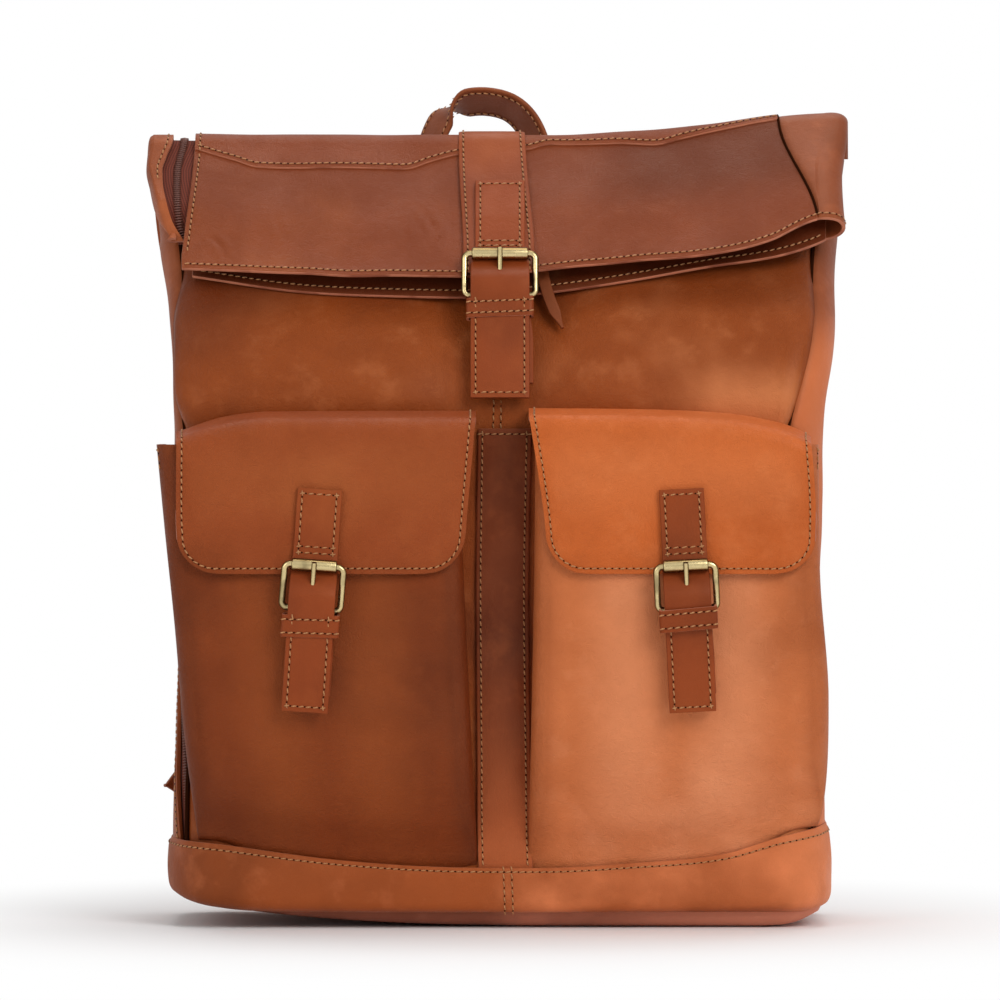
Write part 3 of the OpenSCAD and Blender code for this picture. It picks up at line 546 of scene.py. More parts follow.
def make_patina_group() -> bpy.types.NodeTree:
    """Broad tone of waxed leather: deep, base and pulled-up light areas."""
    tree, n, gin, gout = shader_group(
        "Patina",
        [("Vector", "NodeSocketVector", None), ("Deep", "NodeSocketColor", None),
         ("Base", "NodeSocketColor", None), ("Light", "NodeSocketColor", None),
         ("Mottle", "NodeSocketFloat", 0.5), ("Amount", "NodeSocketFloat", 1.0)],
        [("Color", "NodeSocketColor"), ("Mask", "NodeSocketFloat")],
    )
    where = gin.outputs["Vector"]
    broad = n.noise(where, 8.0, 4.0, 0.5, 0.2)
    fine = n.noise(where, 55.0, 4.0, 0.6)
    dark = n.math("MULTIPLY", n.ramp(broad, 0.5, 0.2), gin.outputs["Amount"])
    light = n.math("MULTIPLY", n.ramp(broad, 0.52, 0.8), gin.outputs["Amount"])
    tone = n.mix(dark, gin.outputs["Base"], gin.outputs["Deep"])
    tone = n.mix(light, tone, gin.outputs["Light"])
    tone = n.mix(n.math("MULTIPLY", gin.outputs["Mottle"], 0.22), tone, gin.outputs["Deep"])
    tone = n.mix(n.math("MULTIPLY", n.ramp(fine, 0.5, 0.75), 0.16), tone, gin.outputs["Light"])
    n.link(tone, gout.inputs["Color"])
    n.link(n.math("SUBTRACT", light, dark), gout.inputs["Mask"])
    return tree


GRAIN = make_grain_group()
PATINA = make_patina_group()


# ---- finishes


def new_material(name: str) -> tuple[Material, Nodes, Node, Socket]:
    """A material with a Principled shader and an Object coordinate.

    Args:
        name: name of the material.

    Returns:
        The material, its node helper, its shader and the Object coordinate socket.
    """
    mat = bpy.data.materials.new(name)
    mat.use_nodes = True
    mat.node_tree.nodes.clear()
    n = Nodes(mat.node_tree)
    out = n.add("ShaderNodeOutputMaterial")
    shader = n.add("ShaderNodeBsdfPrincipled")
    n.link(shader.outputs[0], out.inputs["Surface"])
    coord = n.add("ShaderNodeTexCoord")
    return mat, n, shader, coord.outputs["Object"]


@dataclass(frozen=True)
class LeatherFinish:
    """Waxed full-grain leather in one shade.

    The deep and light tones stand for where wax has darkened the hide or where it has
    been pulled thin, in the patina's random mottling. The mesh's "tone" attribute also
    mixes them in, mostly as painted shade and painted highlights.
    """

    name: str
    deep: Rgb
    base: Rgb
    light: Rgb
    rough: tuple[float, float] = (0.42, 0.58)
    patina: float = 1.0
    bump: float = 0.35
    pores: float = 900.0
    crease: float = 0.5
    coat: float = 0.07

    def build(self) -> Material:
        """The material."""
        mat, n, shader, where = new_material(self.name)
        grain = n.add("ShaderNodeGroup", node_tree=GRAIN)
        n.fill(grain, {"Vector": where, "Pore scale": self.pores, "Crease": self.crease})
        patina = n.add("ShaderNodeGroup", node_tree=PATINA)
        n.fill(patina, {"Vector": where, "Deep": linear(self.deep), "Base": linear(self.base),
                        "Light": linear(self.light), "Mottle": grain.outputs["Mottle"],
                        "Amount": self.patina})
        # Painted shade and highlight: the mesh's tone pulls the colour towards deep below 0 and towards light above
        # 0.
        tone = n.add("ShaderNodeAttribute", attribute_name="tone").outputs["Fac"]
        color = n.mix(n.ramp(tone, 0.0, -1.0, 0.0, 0.8), patina.outputs["Color"], linear(self.deep))
        color = n.mix(n.ramp(tone, 0.0, 1.0, 0.0, 0.8), color, linear(self.light))
        n.fill(shader, {"Base Color": color,
                        "Roughness": n.ramp(grain.outputs["Mottle"], 0.0, 1.0, *self.rough),
                        "Specular IOR Level": 0.34, "Specular Tint": linear((255, 206, 160)),
                        "Coat Weight": self.coat, "Coat Roughness": 0.38})
        n.bump(shader, grain.outputs["Height"], self.bump, 0.00035)
        return mat


@dataclass(frozen=True)
class EdgeFinish:
    """Cut leather edge, paler and matt."""

    name: str = "burnished edge"
    pale: Rgb = (196, 122, 90)
    dark: Rgb = (140, 74, 48)

    def build(self) -> Material:
        """The material."""
        mat, n, shader, where = new_material(self.name)
        fibres = n.noise(where, 700.0, 4.0, 0.7)
        patches = n.noise(where, 45.0, 3.0)
        tone = n.mix(n.ramp(patches, 0.4, 0.65), linear(self.pale), linear(self.dark))
        tone = n.mix(n.math("MULTIPLY", fibres, 0.35), tone, linear(self.dark))
        n.fill(shader, {"Base Color": tone, "Roughness": 0.72})
        n.bump(shader, fibres, 0.4, 0.0002)
        return mat


@dataclass(frozen=True)
class ThreadFinish:
    """Waxed sewing thread with its twist."""

    name: str = "sewing thread"
    light: Rgb = (200, 142, 84)
    dark: Rgb = (152, 96, 52)

    def build(self) -> Material:
        """The material."""
        mat, n, shader, where = new_material(self.name)
        twist = n.noise(where, 2400.0, 2.0)
        tone = n.mix(n.ramp(twist, 0.35, 0.65), linear(self.light), linear(self.dark))
        tone = n.mix(n.math("MULTIPLY", n.noise(where, 30.0, 2.0), 0.4), tone, linear(self.dark))
        n.fill(shader, {"Base Color": tone, "Roughness": 0.6, "Sheen Weight": 0.2})
        return mat


@dataclass(frozen=True)
class BrassFinish:
    """Antique brushed brass with a painted reflection: pale where it faces the eye, brown towards its grazing
    edges, and darker where random tarnish lies.
    """

    name: str = "antique brass"
    facing_glint: Rgb = (222, 202, 150)
    mid: Rgb = (138, 112, 64)
    dark: Rgb = (54, 38, 20)

    def build(self) -> Material:
        """The material."""
        mat, n, shader, where = new_material(self.name)
        brushed = n.add("ShaderNodeMapping")
        brushed.inputs["Scale"].default_value = (1.0, 1.0, 0.12)
        n.link(where, brushed.inputs["Vector"])
        lines = n.noise(brushed.outputs[0], 2600.0, 3.0, 0.6)
        tarnish = n.noise(where, 90.0, 3.0, 0.55, 0.4)
        # Painted reflection: pale where the surface faces the eye, darker towards grazing angles.
        rim = n.add("ShaderNodeLayerWeight")
        rim.inputs["Blend"].default_value = 0.5
        tone = n.mix(n.ramp(rim.outputs["Facing"], 0.04, 0.4), linear(self.facing_glint), linear(self.mid))
        tone = n.mix(n.ramp(rim.outputs["Facing"], 0.32, 0.7), tone, linear(self.dark))
        tone = n.mix(n.ramp(tarnish, 0.45, 0.75, 0.0, 0.5), tone, linear(self.dark))
        tone = n.mix(n.math("MULTIPLY", lines, 0.2), tone, linear(self.mid))
        n.fill(shader, {"Base Color": tone, "Metallic": 1.0,
                        "Roughness": n.ramp(tarnish, 0.3, 0.75, 0.2, 0.4)})
        n.bump(shader, lines, 0.12, 0.0002)
        return mat


@dataclass(frozen=True)
class ClothFinish:
    """Plain woven cloth or tape, with its weave as bump."""

    name: str
    warp: Rgb
    weft: Rgb
    threads: float = 900.0

    def build(self) -> Material:
        """The material."""
        mat, n, shader, _ = new_material(self.name)
        uv = n.add("ShaderNodeTexCoord").outputs["UV"]
        waves = []
        for direction in ("X", "Y"):
            wave = n.add("ShaderNodeTexWave", wave_type="BANDS", bands_direction=direction)
            n.fill(wave, {"Vector": uv, "Scale": self.threads / 6.3, "Distortion": 0.6, "Detail": 1.0})
            waves.append(wave.outputs["Fac"])
        weave = n.math("MULTIPLY", waves[0], waves[1])
        tone = n.mix(waves[0], linear(self.warp), linear(self.weft))
        tone = n.mix(n.math("MULTIPLY", n.noise(uv, 40.0, 3.0), 0.3), tone, linear(self.weft))
        n.fill(shader, {"Base Color": tone, "Roughness": 0.85, "Sheen Weight": 0.04,
                        "Specular IOR Level": 0.15})
        n.bump(shader, weave, 0.5, 0.0003)
        return mat


@dataclass(frozen=True)
class CoilFinish:
    """Moulded zip coil, dark and a little glossy."""

    name: str = "zip coil"
    tone: Rgb = (92, 50, 40)
    worn: Rgb = (132, 84, 66)
    gloss: float = 0.5

    def build(self) -> Material:
        """The material."""
        mat, n, shader, where = new_material(self.name)
        wear = n.noise(where, 380.0, 3.0)
        tone = n.mix(n.math("MULTIPLY", wear, 0.4), linear(self.tone), linear(self.worn))
        n.fill(shader, {"Base Color": tone, "Roughness": n.ramp(wear, 0.3, 0.7, 0.32, 0.55),
                        "Specular IOR Level": self.gloss})
        return mat


class Shade(Enum):
    """The leathers and trims of the bag."""

    PANEL = LeatherFinish("panel leather", (96, 36, 12), (146, 66, 20), (222, 136, 84), bump=0.7)
    ROLL = LeatherFinish("rolled leather", (88, 34, 14), (128, 56, 26), (150, 76, 40), bump=0.7, crease=0.5)
    POCKET_L = LeatherFinish("left pocket leather", (90, 34, 12), (126, 52, 16), (156, 76, 32), bump=0.7)
    POCKET_R = LeatherFinish("right pocket leather", (150, 74, 36), (204, 114, 66), (236, 156, 112),
                             bump=0.7)
    FLAP_L = LeatherFinish("left flap leather", (114, 48, 16), (148, 66, 28), (172, 92, 46), bump=0.7)
    FLAP_R = LeatherFinish("right flap leather", (158, 70, 26), (200, 98, 42), (228, 136, 82), bump=0.7)
    BAND = LeatherFinish("band leather", (108, 46, 16), (158, 76, 34), (236, 138, 88))
    SIDE = LeatherFinish("side leather", (90, 40, 20), (146, 72, 38), (220, 122, 74))
    BACK = LeatherFinish("back leather", (98, 42, 16), (146, 72, 32), (174, 94, 48))
    PLACKET = LeatherFinish("placket leather", (86, 34, 20), (126, 56, 28), (196, 102, 56))
    SOLE = LeatherFinish("sole leather", (106, 54, 38), (146, 82, 62), (216, 136, 108), rough=(0.5, 0.7))
    STRAP = LeatherFinish("strap leather", (96, 36, 14), (140, 60, 24), (164, 82, 38), bump=0.3, coat=0.08)
    HANDLE = LeatherFinish("handle leather", (70, 32, 20), (128, 62, 32), (156, 84, 46), bump=0.3)

MATERIALS: dict[object, Material] = {shade: shade.value.build() for shade in Shade}
EDGE = EdgeFinish().build()
THREAD = ThreadFinish().build()
# Painted shade: a near-black finish for the needle holes and the dark strips in the seams, standing for the shade
# in those recesses.
RECESS_SHADE = CoilFinish("painted recess shade", (44, 20, 9), (58, 27, 13), 0.0).build()
BRASS = BrassFinish().build()
LINING = ClothFinish("lining cloth", (104, 78, 56), (74, 54, 40)).build()
TAPE = ClothFinish("zip tape", (122, 60, 44), (84, 40, 31), 1400.0).build()
COIL = CoilFinish().build()
BOARD = ClothFinish("fibre board", (88, 76, 62), (70, 60, 50), 300.0).build()


def dress(obj: Piece, material: Material) -> Piece:
    """Gives an object one material and hands it back."""
    obj.data.materials.clear()
    obj.data.materials.append(material)
    return obj


# ---- stitches and teeth

Row = tuple[Array, Array]
Surface = Callable[[Array, Array], Array]


def repeat_tree(name: str) -> bpy.types.NodeTree:
    """A geometry tree that sets one small bead after another along polylines.

    The polylines carry an "out" vector on their points. Each bead is a stretched ball
    that lies along the line, with its flat side to the surface, turned by a slant.

    Args:
        name: name of the tree.

    Returns:
        The tree, with the inputs Pitch, Length, Width, Height, Slant and Material.
    """
    tree = bpy.data.node_groups.new(name, "GeometryNodeTree")
    tree.interface.new_socket("Geometry", in_out="INPUT", socket_type="NodeSocketGeometry")
    for label, value in (("Pitch", 0.0042), ("Length", 0.003), ("Width", 0.0009), ("Height", 0.0007),
                         ("Slant", 0.2)):
        tree.interface.new_socket(label, in_out="INPUT",
                                  socket_type="NodeSocketFloat").default_value = value
    tree.interface.new_socket("Material", in_out="INPUT", socket_type="NodeSocketMaterial")
    tree.interface.new_socket("Geometry", in_out="OUTPUT", socket_type="NodeSocketGeometry")
    n = Nodes(tree)
    gin, gout = n.add("NodeGroupInput"), n.add("NodeGroupOutput")
    curve = n.add("GeometryNodeMeshToCurve")
    n.link(gin.outputs["Geometry"], curve.inputs[0])
    even = n.add("GeometryNodeResampleCurve", mode="LENGTH")
    n.link(curve.outputs[0], even.inputs["Curve"])
    n.link(gin.outputs["Pitch"], even.inputs["Length"])
    bead = n.add("GeometryNodeMeshUVSphere")
    bead.inputs["Segments"].default_value = 6
    bead.inputs["Rings"].default_value = 4
    bead.inputs["Radius"].default_value = 0.5
    turn = n.add("GeometryNodeTransform")
    n.link(bead.outputs["Mesh"], turn.inputs["Geometry"])
    turn.inputs["Rotation"].default_value = (0.0, math.radians(90), 0.0)
    smooth_bead = n.add("GeometryNodeSetShadeSmooth")
    n.link(turn.outputs[0], smooth_bead.inputs["Geometry"])
    size = n.add("ShaderNodeCombineXYZ")
    for axis, label in zip("XYZ", ("Length", "Width", "Height")):
        n.link(gin.outputs[label], size.inputs[axis])
    out = n.add("GeometryNodeInputNamedAttribute", data_type="FLOAT_VECTOR")
    out.inputs["Name"].default_value = "out"
    tangent = n.add("GeometryNodeInputTangent")
    upright = n.add("FunctionNodeAlignRotationToVector", axis="Z")
    n.link(out.outputs["Attribute"], upright.inputs["Vector"])
    along = n.add("FunctionNodeAlignRotationToVector", axis="X", pivot_axis="Z")
    n.link(upright.outputs[0], along.inputs["Rotation"])
    n.link(tangent.outputs[0], along.inputs["Vector"])
    slant = n.add("FunctionNodeAxisAngleToRotation")
    slant.inputs["Axis"].default_value = (0.0, 0.0, 1.0)
    n.link(gin.outputs["Slant"], slant.inputs["Angle"])
    turned_bead = n.add("FunctionNodeRotateRotation", rotation_space="LOCAL")
    n.link(along.outputs[0], turned_bead.inputs[0])
    n.link(slant.outputs[0], turned_bead.inputs[1])
    place = n.add("GeometryNodeInstanceOnPoints")
    n.link(even.outputs[0], place.inputs["Points"])
    n.link(smooth_bead.outputs[0], place.inputs["Instance"])
    n.link(turned_bead.outputs[0], place.inputs["Rotation"])
    n.link(size.outputs[0], place.inputs["Scale"])
    real = n.add("GeometryNodeRealizeInstances")
    n.link(place.outputs[0], real.inputs[0])
    paint = n.add("GeometryNodeSetMaterial")
    n.link(real.outputs[0], paint.inputs["Geometry"])
    n.link(gin.outputs["Material"], paint.inputs["Material"])
    n.link(paint.outputs[0], gout.inputs[0])
    return tree


BEADS = repeat_tree("Beads along a line")


def trimmed(row: Row, skip: float) -> Row:
    """A row without its first and last stretch."""
    points, outs = row
    run = run_of(points)
    at = np.linspace(skip, run[-1] - skip, max(len(points), 4))
    return sampled(at, run, points), unit(sampled(at, run, outs))


@dataclass(frozen=True)
class Beads:
    """Sizes of one kind of repeated bead, in millimetres and degrees."""

    pitch: float = 3.8
    length: float = 3.0
    width: float = 0.95
    height: float = 0.8
    slant: float = 12.0

    def along(self, name: str, rows: Sequence[Row], material: Material) -> Piece:
        """Beads along rows, as one plain mesh.

        Args:
            name: name of the piece.
            rows: points and outward directions of each row, in millimetres.
            material: finish of the beads.

        Returns:
            The new object, at the origin.
        """
        points = np.concatenate([r[0] for r in rows]) * MM
        outs = np.concatenate([r[1] for r in rows])
        edges, start = [], 0
        for row in rows:
            edges += [(i, i + 1) for i in range(start, start + len(row[0]) - 1)]
            start += len(row[0])
        guide = bpy.data.meshes.new(name + "_line")
        guide.from_pydata(points.tolist(), edges, [])
        attribute = guide.attributes.new("out", "FLOAT_VECTOR", "POINT")
        attribute.data.foreach_set("vector", outs.astype(np.float32).ravel())
        holder = new_piece(name + "_line", guide)
        modifier = holder.modifiers.new("beads", "NODES")
        modifier.node_group = BEADS
        values = {"Pitch": self.pitch * MM, "Length": self.length * MM, "Width": self.width * MM,
                  "Height": self.height * MM, "Slant": math.radians(self.slant), "Material": material}
        for item in BEADS.interface.items_tree:
            if item.in_out == "INPUT" and item.name in values:
                modifier[item.identifier] = values[item.name]
        depsgraph = bpy.context.evaluated_depsgraph_get()
        mesh = bpy.data.meshes.new_from_object(holder.evaluated_get(depsgraph))
        holder.modifiers.remove(modifier)
        bpy.data.objects.remove(holder)
        mesh.name = name
        return new_piece(name, mesh)


STITCH = Beads()
HOLE = Beads(length=1.0, width=1.0, height=0.5, slant=0.0)


def sewn(name: str, rows: Sequence[Row]) -> Piece:
    """Stitches along rows, with dark needle holes between them as painted shade of the holes, as one piece.

    Args:
        name: name of the piece.
        rows: points and outward directions of each row, in millimetres.

    Returns:
        The new object, at the origin.
    """
    stitches = STITCH.along(name, rows, THREAD)
    holes = HOLE.along(name + "_holes", [trimmed(row, HOLE.pitch / 2) for row in rows], RECESS_SHADE)
    return joined(name, [stitches, holes])
TOOTH = Beads(pitch=1.5, length=1.05, width=5.2, height=1.7, slant=0.0)


def row_on(surface: Surface, path: Sequence[Sequence[float]], lift: float = 0.25, step: float = 2.0,
           ease: int = 0, delta: float = 0.6) -> Row:
    """A row of points on a surface, from a path in the surface's own two coordinates.

    Args:
        surface: maps two coordinates, right and up seen from outside, to points.
        path: corner points of the path.
        lift: height over the surface.
        step: distance between points of the row.
        ease: how often the path's corners are cut.
        delta: step for the surface's slope.

    Returns:
        Points and outward directions.
    """
    flat = rounded(path, step, ease) if ease else resample(path, step)
    a, b = flat[:, 0], flat[:, 1]
    along = surface(a + delta, b) - surface(a - delta, b)
    up = surface(a, b + delta) - surface(a, b - delta)
    out = unit(np.cross(along, up))
    return surface(a, b) + out * lift, out


# ---- pieces and bodies


def settle(obj: Piece, body: str, slot: str, *nodes: str) -> Piece:
    """Gives a finished piece its body and hides the CAD nodes that it stands for.

    Args:
        obj: the piece.
        body: name of the body it moves with.
        slot: not used.
        nodes: CAD nodes that it replaces.

    Returns:
        The same object.
    """
    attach(obj, body)
    if nodes:
        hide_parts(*nodes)
    log.info("%s rides on %s, %d points", obj.name, body, len(obj.data.vertices))
    return obj


def bridge(obj: Piece, bodies: tuple[str, str], start: Array, end: Array, slot: str,
           *nodes: str) -> Piece:
    """Gives a finished piece two bodies, between which it bends.

    Args:
        obj: the piece, with no live modifiers.
        bodies: names of the two bodies.
        start: not used.
        end: not used.
        slot: not used.
        nodes: CAD nodes that it replaces.

    Returns:
        The same object.
    """
    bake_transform(obj)
    if nodes:
        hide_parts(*nodes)
    log.info("%s bends from %s to %s", obj.name, *bodies)
    return obj


def applied(obj: Piece) -> Piece:
    """The object with its modifiers applied to its mesh."""
    depsgraph = bpy.context.evaluated_depsgraph_get()
    mesh = bpy.data.meshes.new_from_object(obj.evaluated_get(depsgraph))
    obj.modifiers.clear()
    obj.data = mesh
    return obj


def tone_with_painted_light(obj: Piece, tone: Array) -> Piece:
    """Gives a grid mesh its "tone", from -1 for the deep colour to 1 for the light one; mostly painted shade and
    painted highlights, with some flat shifts of colour.
    """
    attribute = obj.data.attributes.new("tone", "FLOAT", "POINT")
    attribute.data.foreach_set("value", np.asarray(tone, np.float32).ravel())
    return obj


def welded(obj: Piece) -> Piece:
    """Closes poles and seams of a mesh and keeps its sharp corners sharp."""
    mesh = bmesh.new()
    mesh.from_mesh(obj.data)
    bmesh.ops.remove_doubles(mesh, verts=mesh.verts, dist=2e-6)
    bmesh.ops.dissolve_degenerate(mesh, edges=mesh.edges, dist=1e-6)
    mesh.to_mesh(obj.data)
    mesh.free()
    obj.data.set_sharp_from_angle(angle=math.radians(48))
    return obj


def faced(obj: Piece) -> Piece:
    """Turns all faces of a closed mesh outwards."""
    mesh = bmesh.new()
    mesh.from_mesh(obj.data)
    bmesh.ops.recalc_face_normals(mesh, faces=mesh.faces)
    mesh.to_mesh(obj.data)
    mesh.free()
    return obj


def spread(start: float, stop: float, count: int, ends: float = 0.8) -> Array:
    """Numbers from start to stop, closer together near both ends.

    Args:
        start: first number.
        stop: last number.
        count: how many.
        ends: 0 for even steps, 1 for a full cosine.

    Returns:
        The numbers.
    """
    t = np.linspace(0, 1, count)
    t = (1 - ends) * t + ends * (0.5 - 0.5 * np.cos(math.pi * t))
    return start + (stop - start) * t


def hide(name: str, grid: Array, shade: Shade, tone: Optional[Array] = None, thickness: float = 2.2,
         edge: bool = True, closed: bool = False) -> Piece:
    """A piece of leather on a grid of points.

    Args:
        name: name of the piece.
        grid: its outer face.
        shade: its leather.
        tone: tone at each point of the grid, mostly painted light and shade.
        thickness: leather thickness.
        edge: whether its cut edge is pale.
        closed: whether the last column joins the first.

    Returns:
        The new object, its modifiers applied.
    """
    obj = grid_mesh(name, grid, closed)
    if tone is not None:
        tone_with_painted_light(obj, tone)
    dress(obj, MATERIALS[shade])
    return applied(thicken(obj, thickness, EDGE if edge else None))


def cloth(obj: Piece, material: Material, thickness: float = 0.6) -> Piece:
    """Gives a skin of tape or cloth its finish and thickness."""
    return applied(thicken(dress(obj, material), thickness, None, 0.0))


def crease(x: Array, w: Array, line: Sequence[tuple[float, float]], depth: float,
           width: float = 1.3) -> Array:
    """Height of leather beside a pressed crease: a valley with a soft lip on each side.

    Args:
        x: first coordinate of the points.
        w: second coordinate of the points.
        line: points of the crease.
        depth: depth of its valley.
        width: width of its valley.

    Returns:
        Height at each point.
    """
    path = rounded(line, 1.5, 2)
    fade = np.sin(math.pi * np.linspace(0.06, 0.94, len(path)))
    best, share = np.full(np.broadcast(x, w).shape, 1e9), np.zeros(np.broadcast(x, w).shape)
    for (px, pw), f in zip(path, fade):
        d = (x - px) ** 2 + (w - pw) ** 2
        share = np.where(d < best, f, share)
        best = np.minimum(best, d)
    d = np.sqrt(best)
    return share * depth * (0.7 * np.exp(-(((d - 2.4 * width) / (1.3 * width)) ** 2))
                            - np.exp(-((d / width) ** 2)))


def seam_dip(d: Array, depth: float = 1.6, width: float = 2.4) -> Array:
    """Height of leather at a distance d from a turned seam: it dips in and puffs beside it."""
    return -depth * np.exp(-((d / width) ** 2)) + 0.55 * np.exp(-(((d - 8) / 5.5) ** 2))


# ---- the bag's body


def ring_card(share: float, height: float) -> Array:
    """A level loop inside the bag, drawn in towards its middle."""
    u = np.concatenate([np.linspace(k, k + 1, 12, endpoint=False) for k in range(8)])
    p = LAYOUT.place(ring(u, np.full_like(u, 30.0), -9.0))
    p[..., 2] = height
    middle = p.mean(axis=0)
    return middle + (p - middle) * max(share, 1e-4)


@dataclass
class Body:
    """Front panel, gussets, back panel, band, sole and placket of the bag."""

    low: float = 24.0
    bulge: float = 5.0
    zip_foot: float = 58.0
    zip_rate: float = 0.2
    zip_end: float = 372.0
    gap: float = 6.0
    band_off: float = 6.6
    side_off: float = 1.9
    foot_share: float = 0.3
    wave: Ripple = field(default_factory=lambda: Ripple(4, 95.0))
    fine: Ripple = field(default_factory=lambda: Ripple(9, 34.0))

    def front_puff(self, x: Array, z: Array) -> Array:
        """How far the front panel stands out above the pockets."""
        band = smooth((z - 262) / 26) * smooth((372 - z) / 40)
        return self.bulge * band * (1 - 0.92 * np.exp(-((x / 42) ** 4)))

    def wall(self, u: Array, z: Array, off: Array | float = 0.0) -> Array:
        """The bag's skin with its own unevenness, carried to its depth."""
        base = ring(u, z)
        uneven = 0.9 * self.wave(base) + 0.25 * self.fine(base)
        uneven = uneven * smooth((410 - z) / 40)
        return LAYOUT.place(ring(u, z, off + uneven))

    def seam_gap(self, u: Array, z: Array, seams: Sequence[Array]) -> Array:
        """Dip near the seams, which are given by their place round the bag."""
        per_unit = np.where((np.floor(u % 8.0).astype(int) % 2) == 1, 41.0, 300.0)
        per_unit = np.where(np.isin(np.floor(u % 8.0).astype(int), (2, 6)), 70.0, per_unit)
        total = np.zeros(np.broadcast(u, z).shape)
        for seam in seams:
            total = total + seam_dip(np.abs(u - seam) * per_unit)
        return total * smooth((412 - z) / 20)

    def front_surface(self, u: Array, z: Array) -> Array:
        """Front panel, by its place round the bag (-0.6 to 1.5) and height."""
        x = ring(u, z)[..., 0]
        off = self.front_puff(x, z) + self.seam_gap(u, z, (LEFT_SEAM(z) - 8, RIGHT_SEAM(z)))
        off = off - 1.3 * np.exp(-(((x - 1.6) / 1.1) ** 2)) * smooth((295 - z) / 8)
        return self.wall(u, z, off)

    def zip_u(self, z: Array, shift: float) -> Array:
        """Place round the bag of a line beside the side zip.

        Args:
            z: height.
            shift: distance towards the front.

        Returns:
            The place round the bag, on the left side.
        """
        bend = LAYOUT.front_bend[0]
        s = np.where(z < bend, self.zip_foot - self.zip_rate * (z - 42),
                     (self.zip_foot - self.zip_rate * (bend - 42))
                     * np.clip((400 - z) / (400 - bend), 0, 1))
        depth = LAYOUT.back(z) - LAYOUT.front(z)
        r = np.minimum(LAYOUT.corner, depth / 2 - 0.6)
        along = s + shift
        flat = depth / 2 - r
        over = np.clip(along - flat, 0, None)
        under = np.clip(-along - flat, 0, None)
        inside = np.clip(along, -flat, flat)
        return 6.5 + 0.5 * inside / np.maximum(flat, 0.4) + over / (r * math.pi / 2) - under / (r * math.pi
                                                                                                / 2)

    def half_gap(self, z: Array) -> Array:
        """Half the width of the gap for the side zip."""
        return self.gap * (1 - smooth((z - self.zip_end + 42) / 42)) + 0.15

    def build_front(self) -> None:
        """Front panel with the short centre seam."""
        z = spread(self.low, 415.5, 150, 0.2)
        t = spread(0, 1, 170, 0.75)
        lo, hi = LEFT_SEAM(z) - 8, RIGHT_SEAM(z)
        u = lo[:, None] + (hi - lo)[:, None] * t[None, :]
        zz = np.broadcast_to(z[:, None], u.shape)
        x = ring(u, zz)[..., 0]
        # Painted light and shade: darker at the upper left, on the side away from the key lamp, and across the top
        # as painted shadow under the rolled flap; lighter at the lower right as a painted highlight; darker along
        # both side seams as painted shade of the seam valleys. It is also a little darker just right of the middle.
        tone = -0.75 * smooth((-90 - x) / 90) * smooth((zz - 285) / 40) - 0.5 * smooth((zz - 325) / 20)
        tone += 0.75 * smooth((x - 60) / 90) * smooth((320 - zz) / 40) - 0.45 * smooth((x + 10)
                                                                                       / 60) * smooth((60 - x) / 60)
        tone -= 0.8 * np.exp(-np.minimum(np.abs(t[None, :]), np.abs(1 - t[None, :])) * 60)
        front = hide("front_leather", self.front_surface(u, zz), Shade.PANEL, tone, edge=False)
        settle(front, "bag", "tan_leather", "front_panel")
        rows = [row_on(self.front_surface, [[0.5 + dx / 304, 272], [0.5 + dx / 304, 289]], delta=0.004)
                for dx in (-3.6, 0.4)]
        settle(sewn("front_stitches", rows), "bag", "strap_leather")

    def build_sides(self) -> None:
        """Right gusset, the two parts of the left gusset and the side zip between them."""
        z = spread(self.low, 415.5, 120, 0.2)
        t = spread(0, 1, 60, 0.7)
        zz = np.broadcast_to(z[:, None], (len(z), len(t)))

        def side(u: Array, zc: Array) -> Array:
            """Right side with its seams."""
            return self.wall(u, zc, self.seam_gap(u, zc, (RIGHT_SEAM(zc), np.full_like(zc, 3.5))))

        u = RIGHT_SEAM(z)[:, None] * (1 - t) + 3.5 * t
        # Painted shade: lighter low down and darker towards the top, under the rolled top.
        tone = 0.75 - 1.3 * smooth((zz - 300) / 70)
        settle(hide("right_side_leather", side(u, zz), Shade.SIDE, tone, edge=False),
               "bag", "tan_leather", "right_gusset")

        def left(u: Array, zc: Array) -> Array:
            """Left side with its seams and the furrow of its zip."""
            dip = self.seam_gap(u, zc, (LEFT_SEAM(zc), np.full_like(zc, 5.5)))
            return self.wall(u, zc, dip - 1.2 * bell(70.0 * (u - self.zip_u(zc, 0.0)), 14.0))

        half = self.half_gap(z)
        front_edge, back_edge = self.zip_u(z, half), self.zip_u(z, -half)
        stop = np.maximum(LEFT_SEAM(z), front_edge + 0.05)
        u = front_edge[:, None] * (1 - t) + stop[:, None] * t
        settle(hide("left_side_front_leather", left(u, zz), Shade.SIDE, -0.1 + 0 * zz, edge=False),
               "bag", "tan_leather", "left_gusset_front")
        u = 5.5 * (1 - t) + back_edge[:, None] * t
        settle(hide("left_side_back_leather", left(u, zz), Shade.SIDE, -0.1 + 0 * zz, edge=False),
               "bag", "tan_leather", "left_gusset_back")
        self.build_zip(left)
        self.build_seam_shades()

    def build_seam_shades(self) -> None:
        """Dark strips deep in the turned seams beside the front panel: painted shade of the seam valleys."""
        z = np.linspace(self.low + 24, 405, 240)
        seam_shade_parts = []
        for seam in (LEFT_SEAM(z), RIGHT_SEAM(z)):
            spine = self.wall(seam, z, -0.5)
            way = unit(np.gradient(spine, axis=0))
            side = unit(np.cross(way, self.wall(seam, z, 1.0) - self.wall(seam, z, 0.0)))
            seam_shade_parts.append(Ribbon(spine, side, unit(np.cross(side, way))).mesh("painted_seam_shade", 1.9, 1.9, 0.8,
                                                                             0.2))
        seam_shade_piece = joined("painted_seam_shade", [dress(part, RECESS_SHADE) for part in seam_shade_parts])
        settle(seam_shade_piece, "bag", "strap_leather")

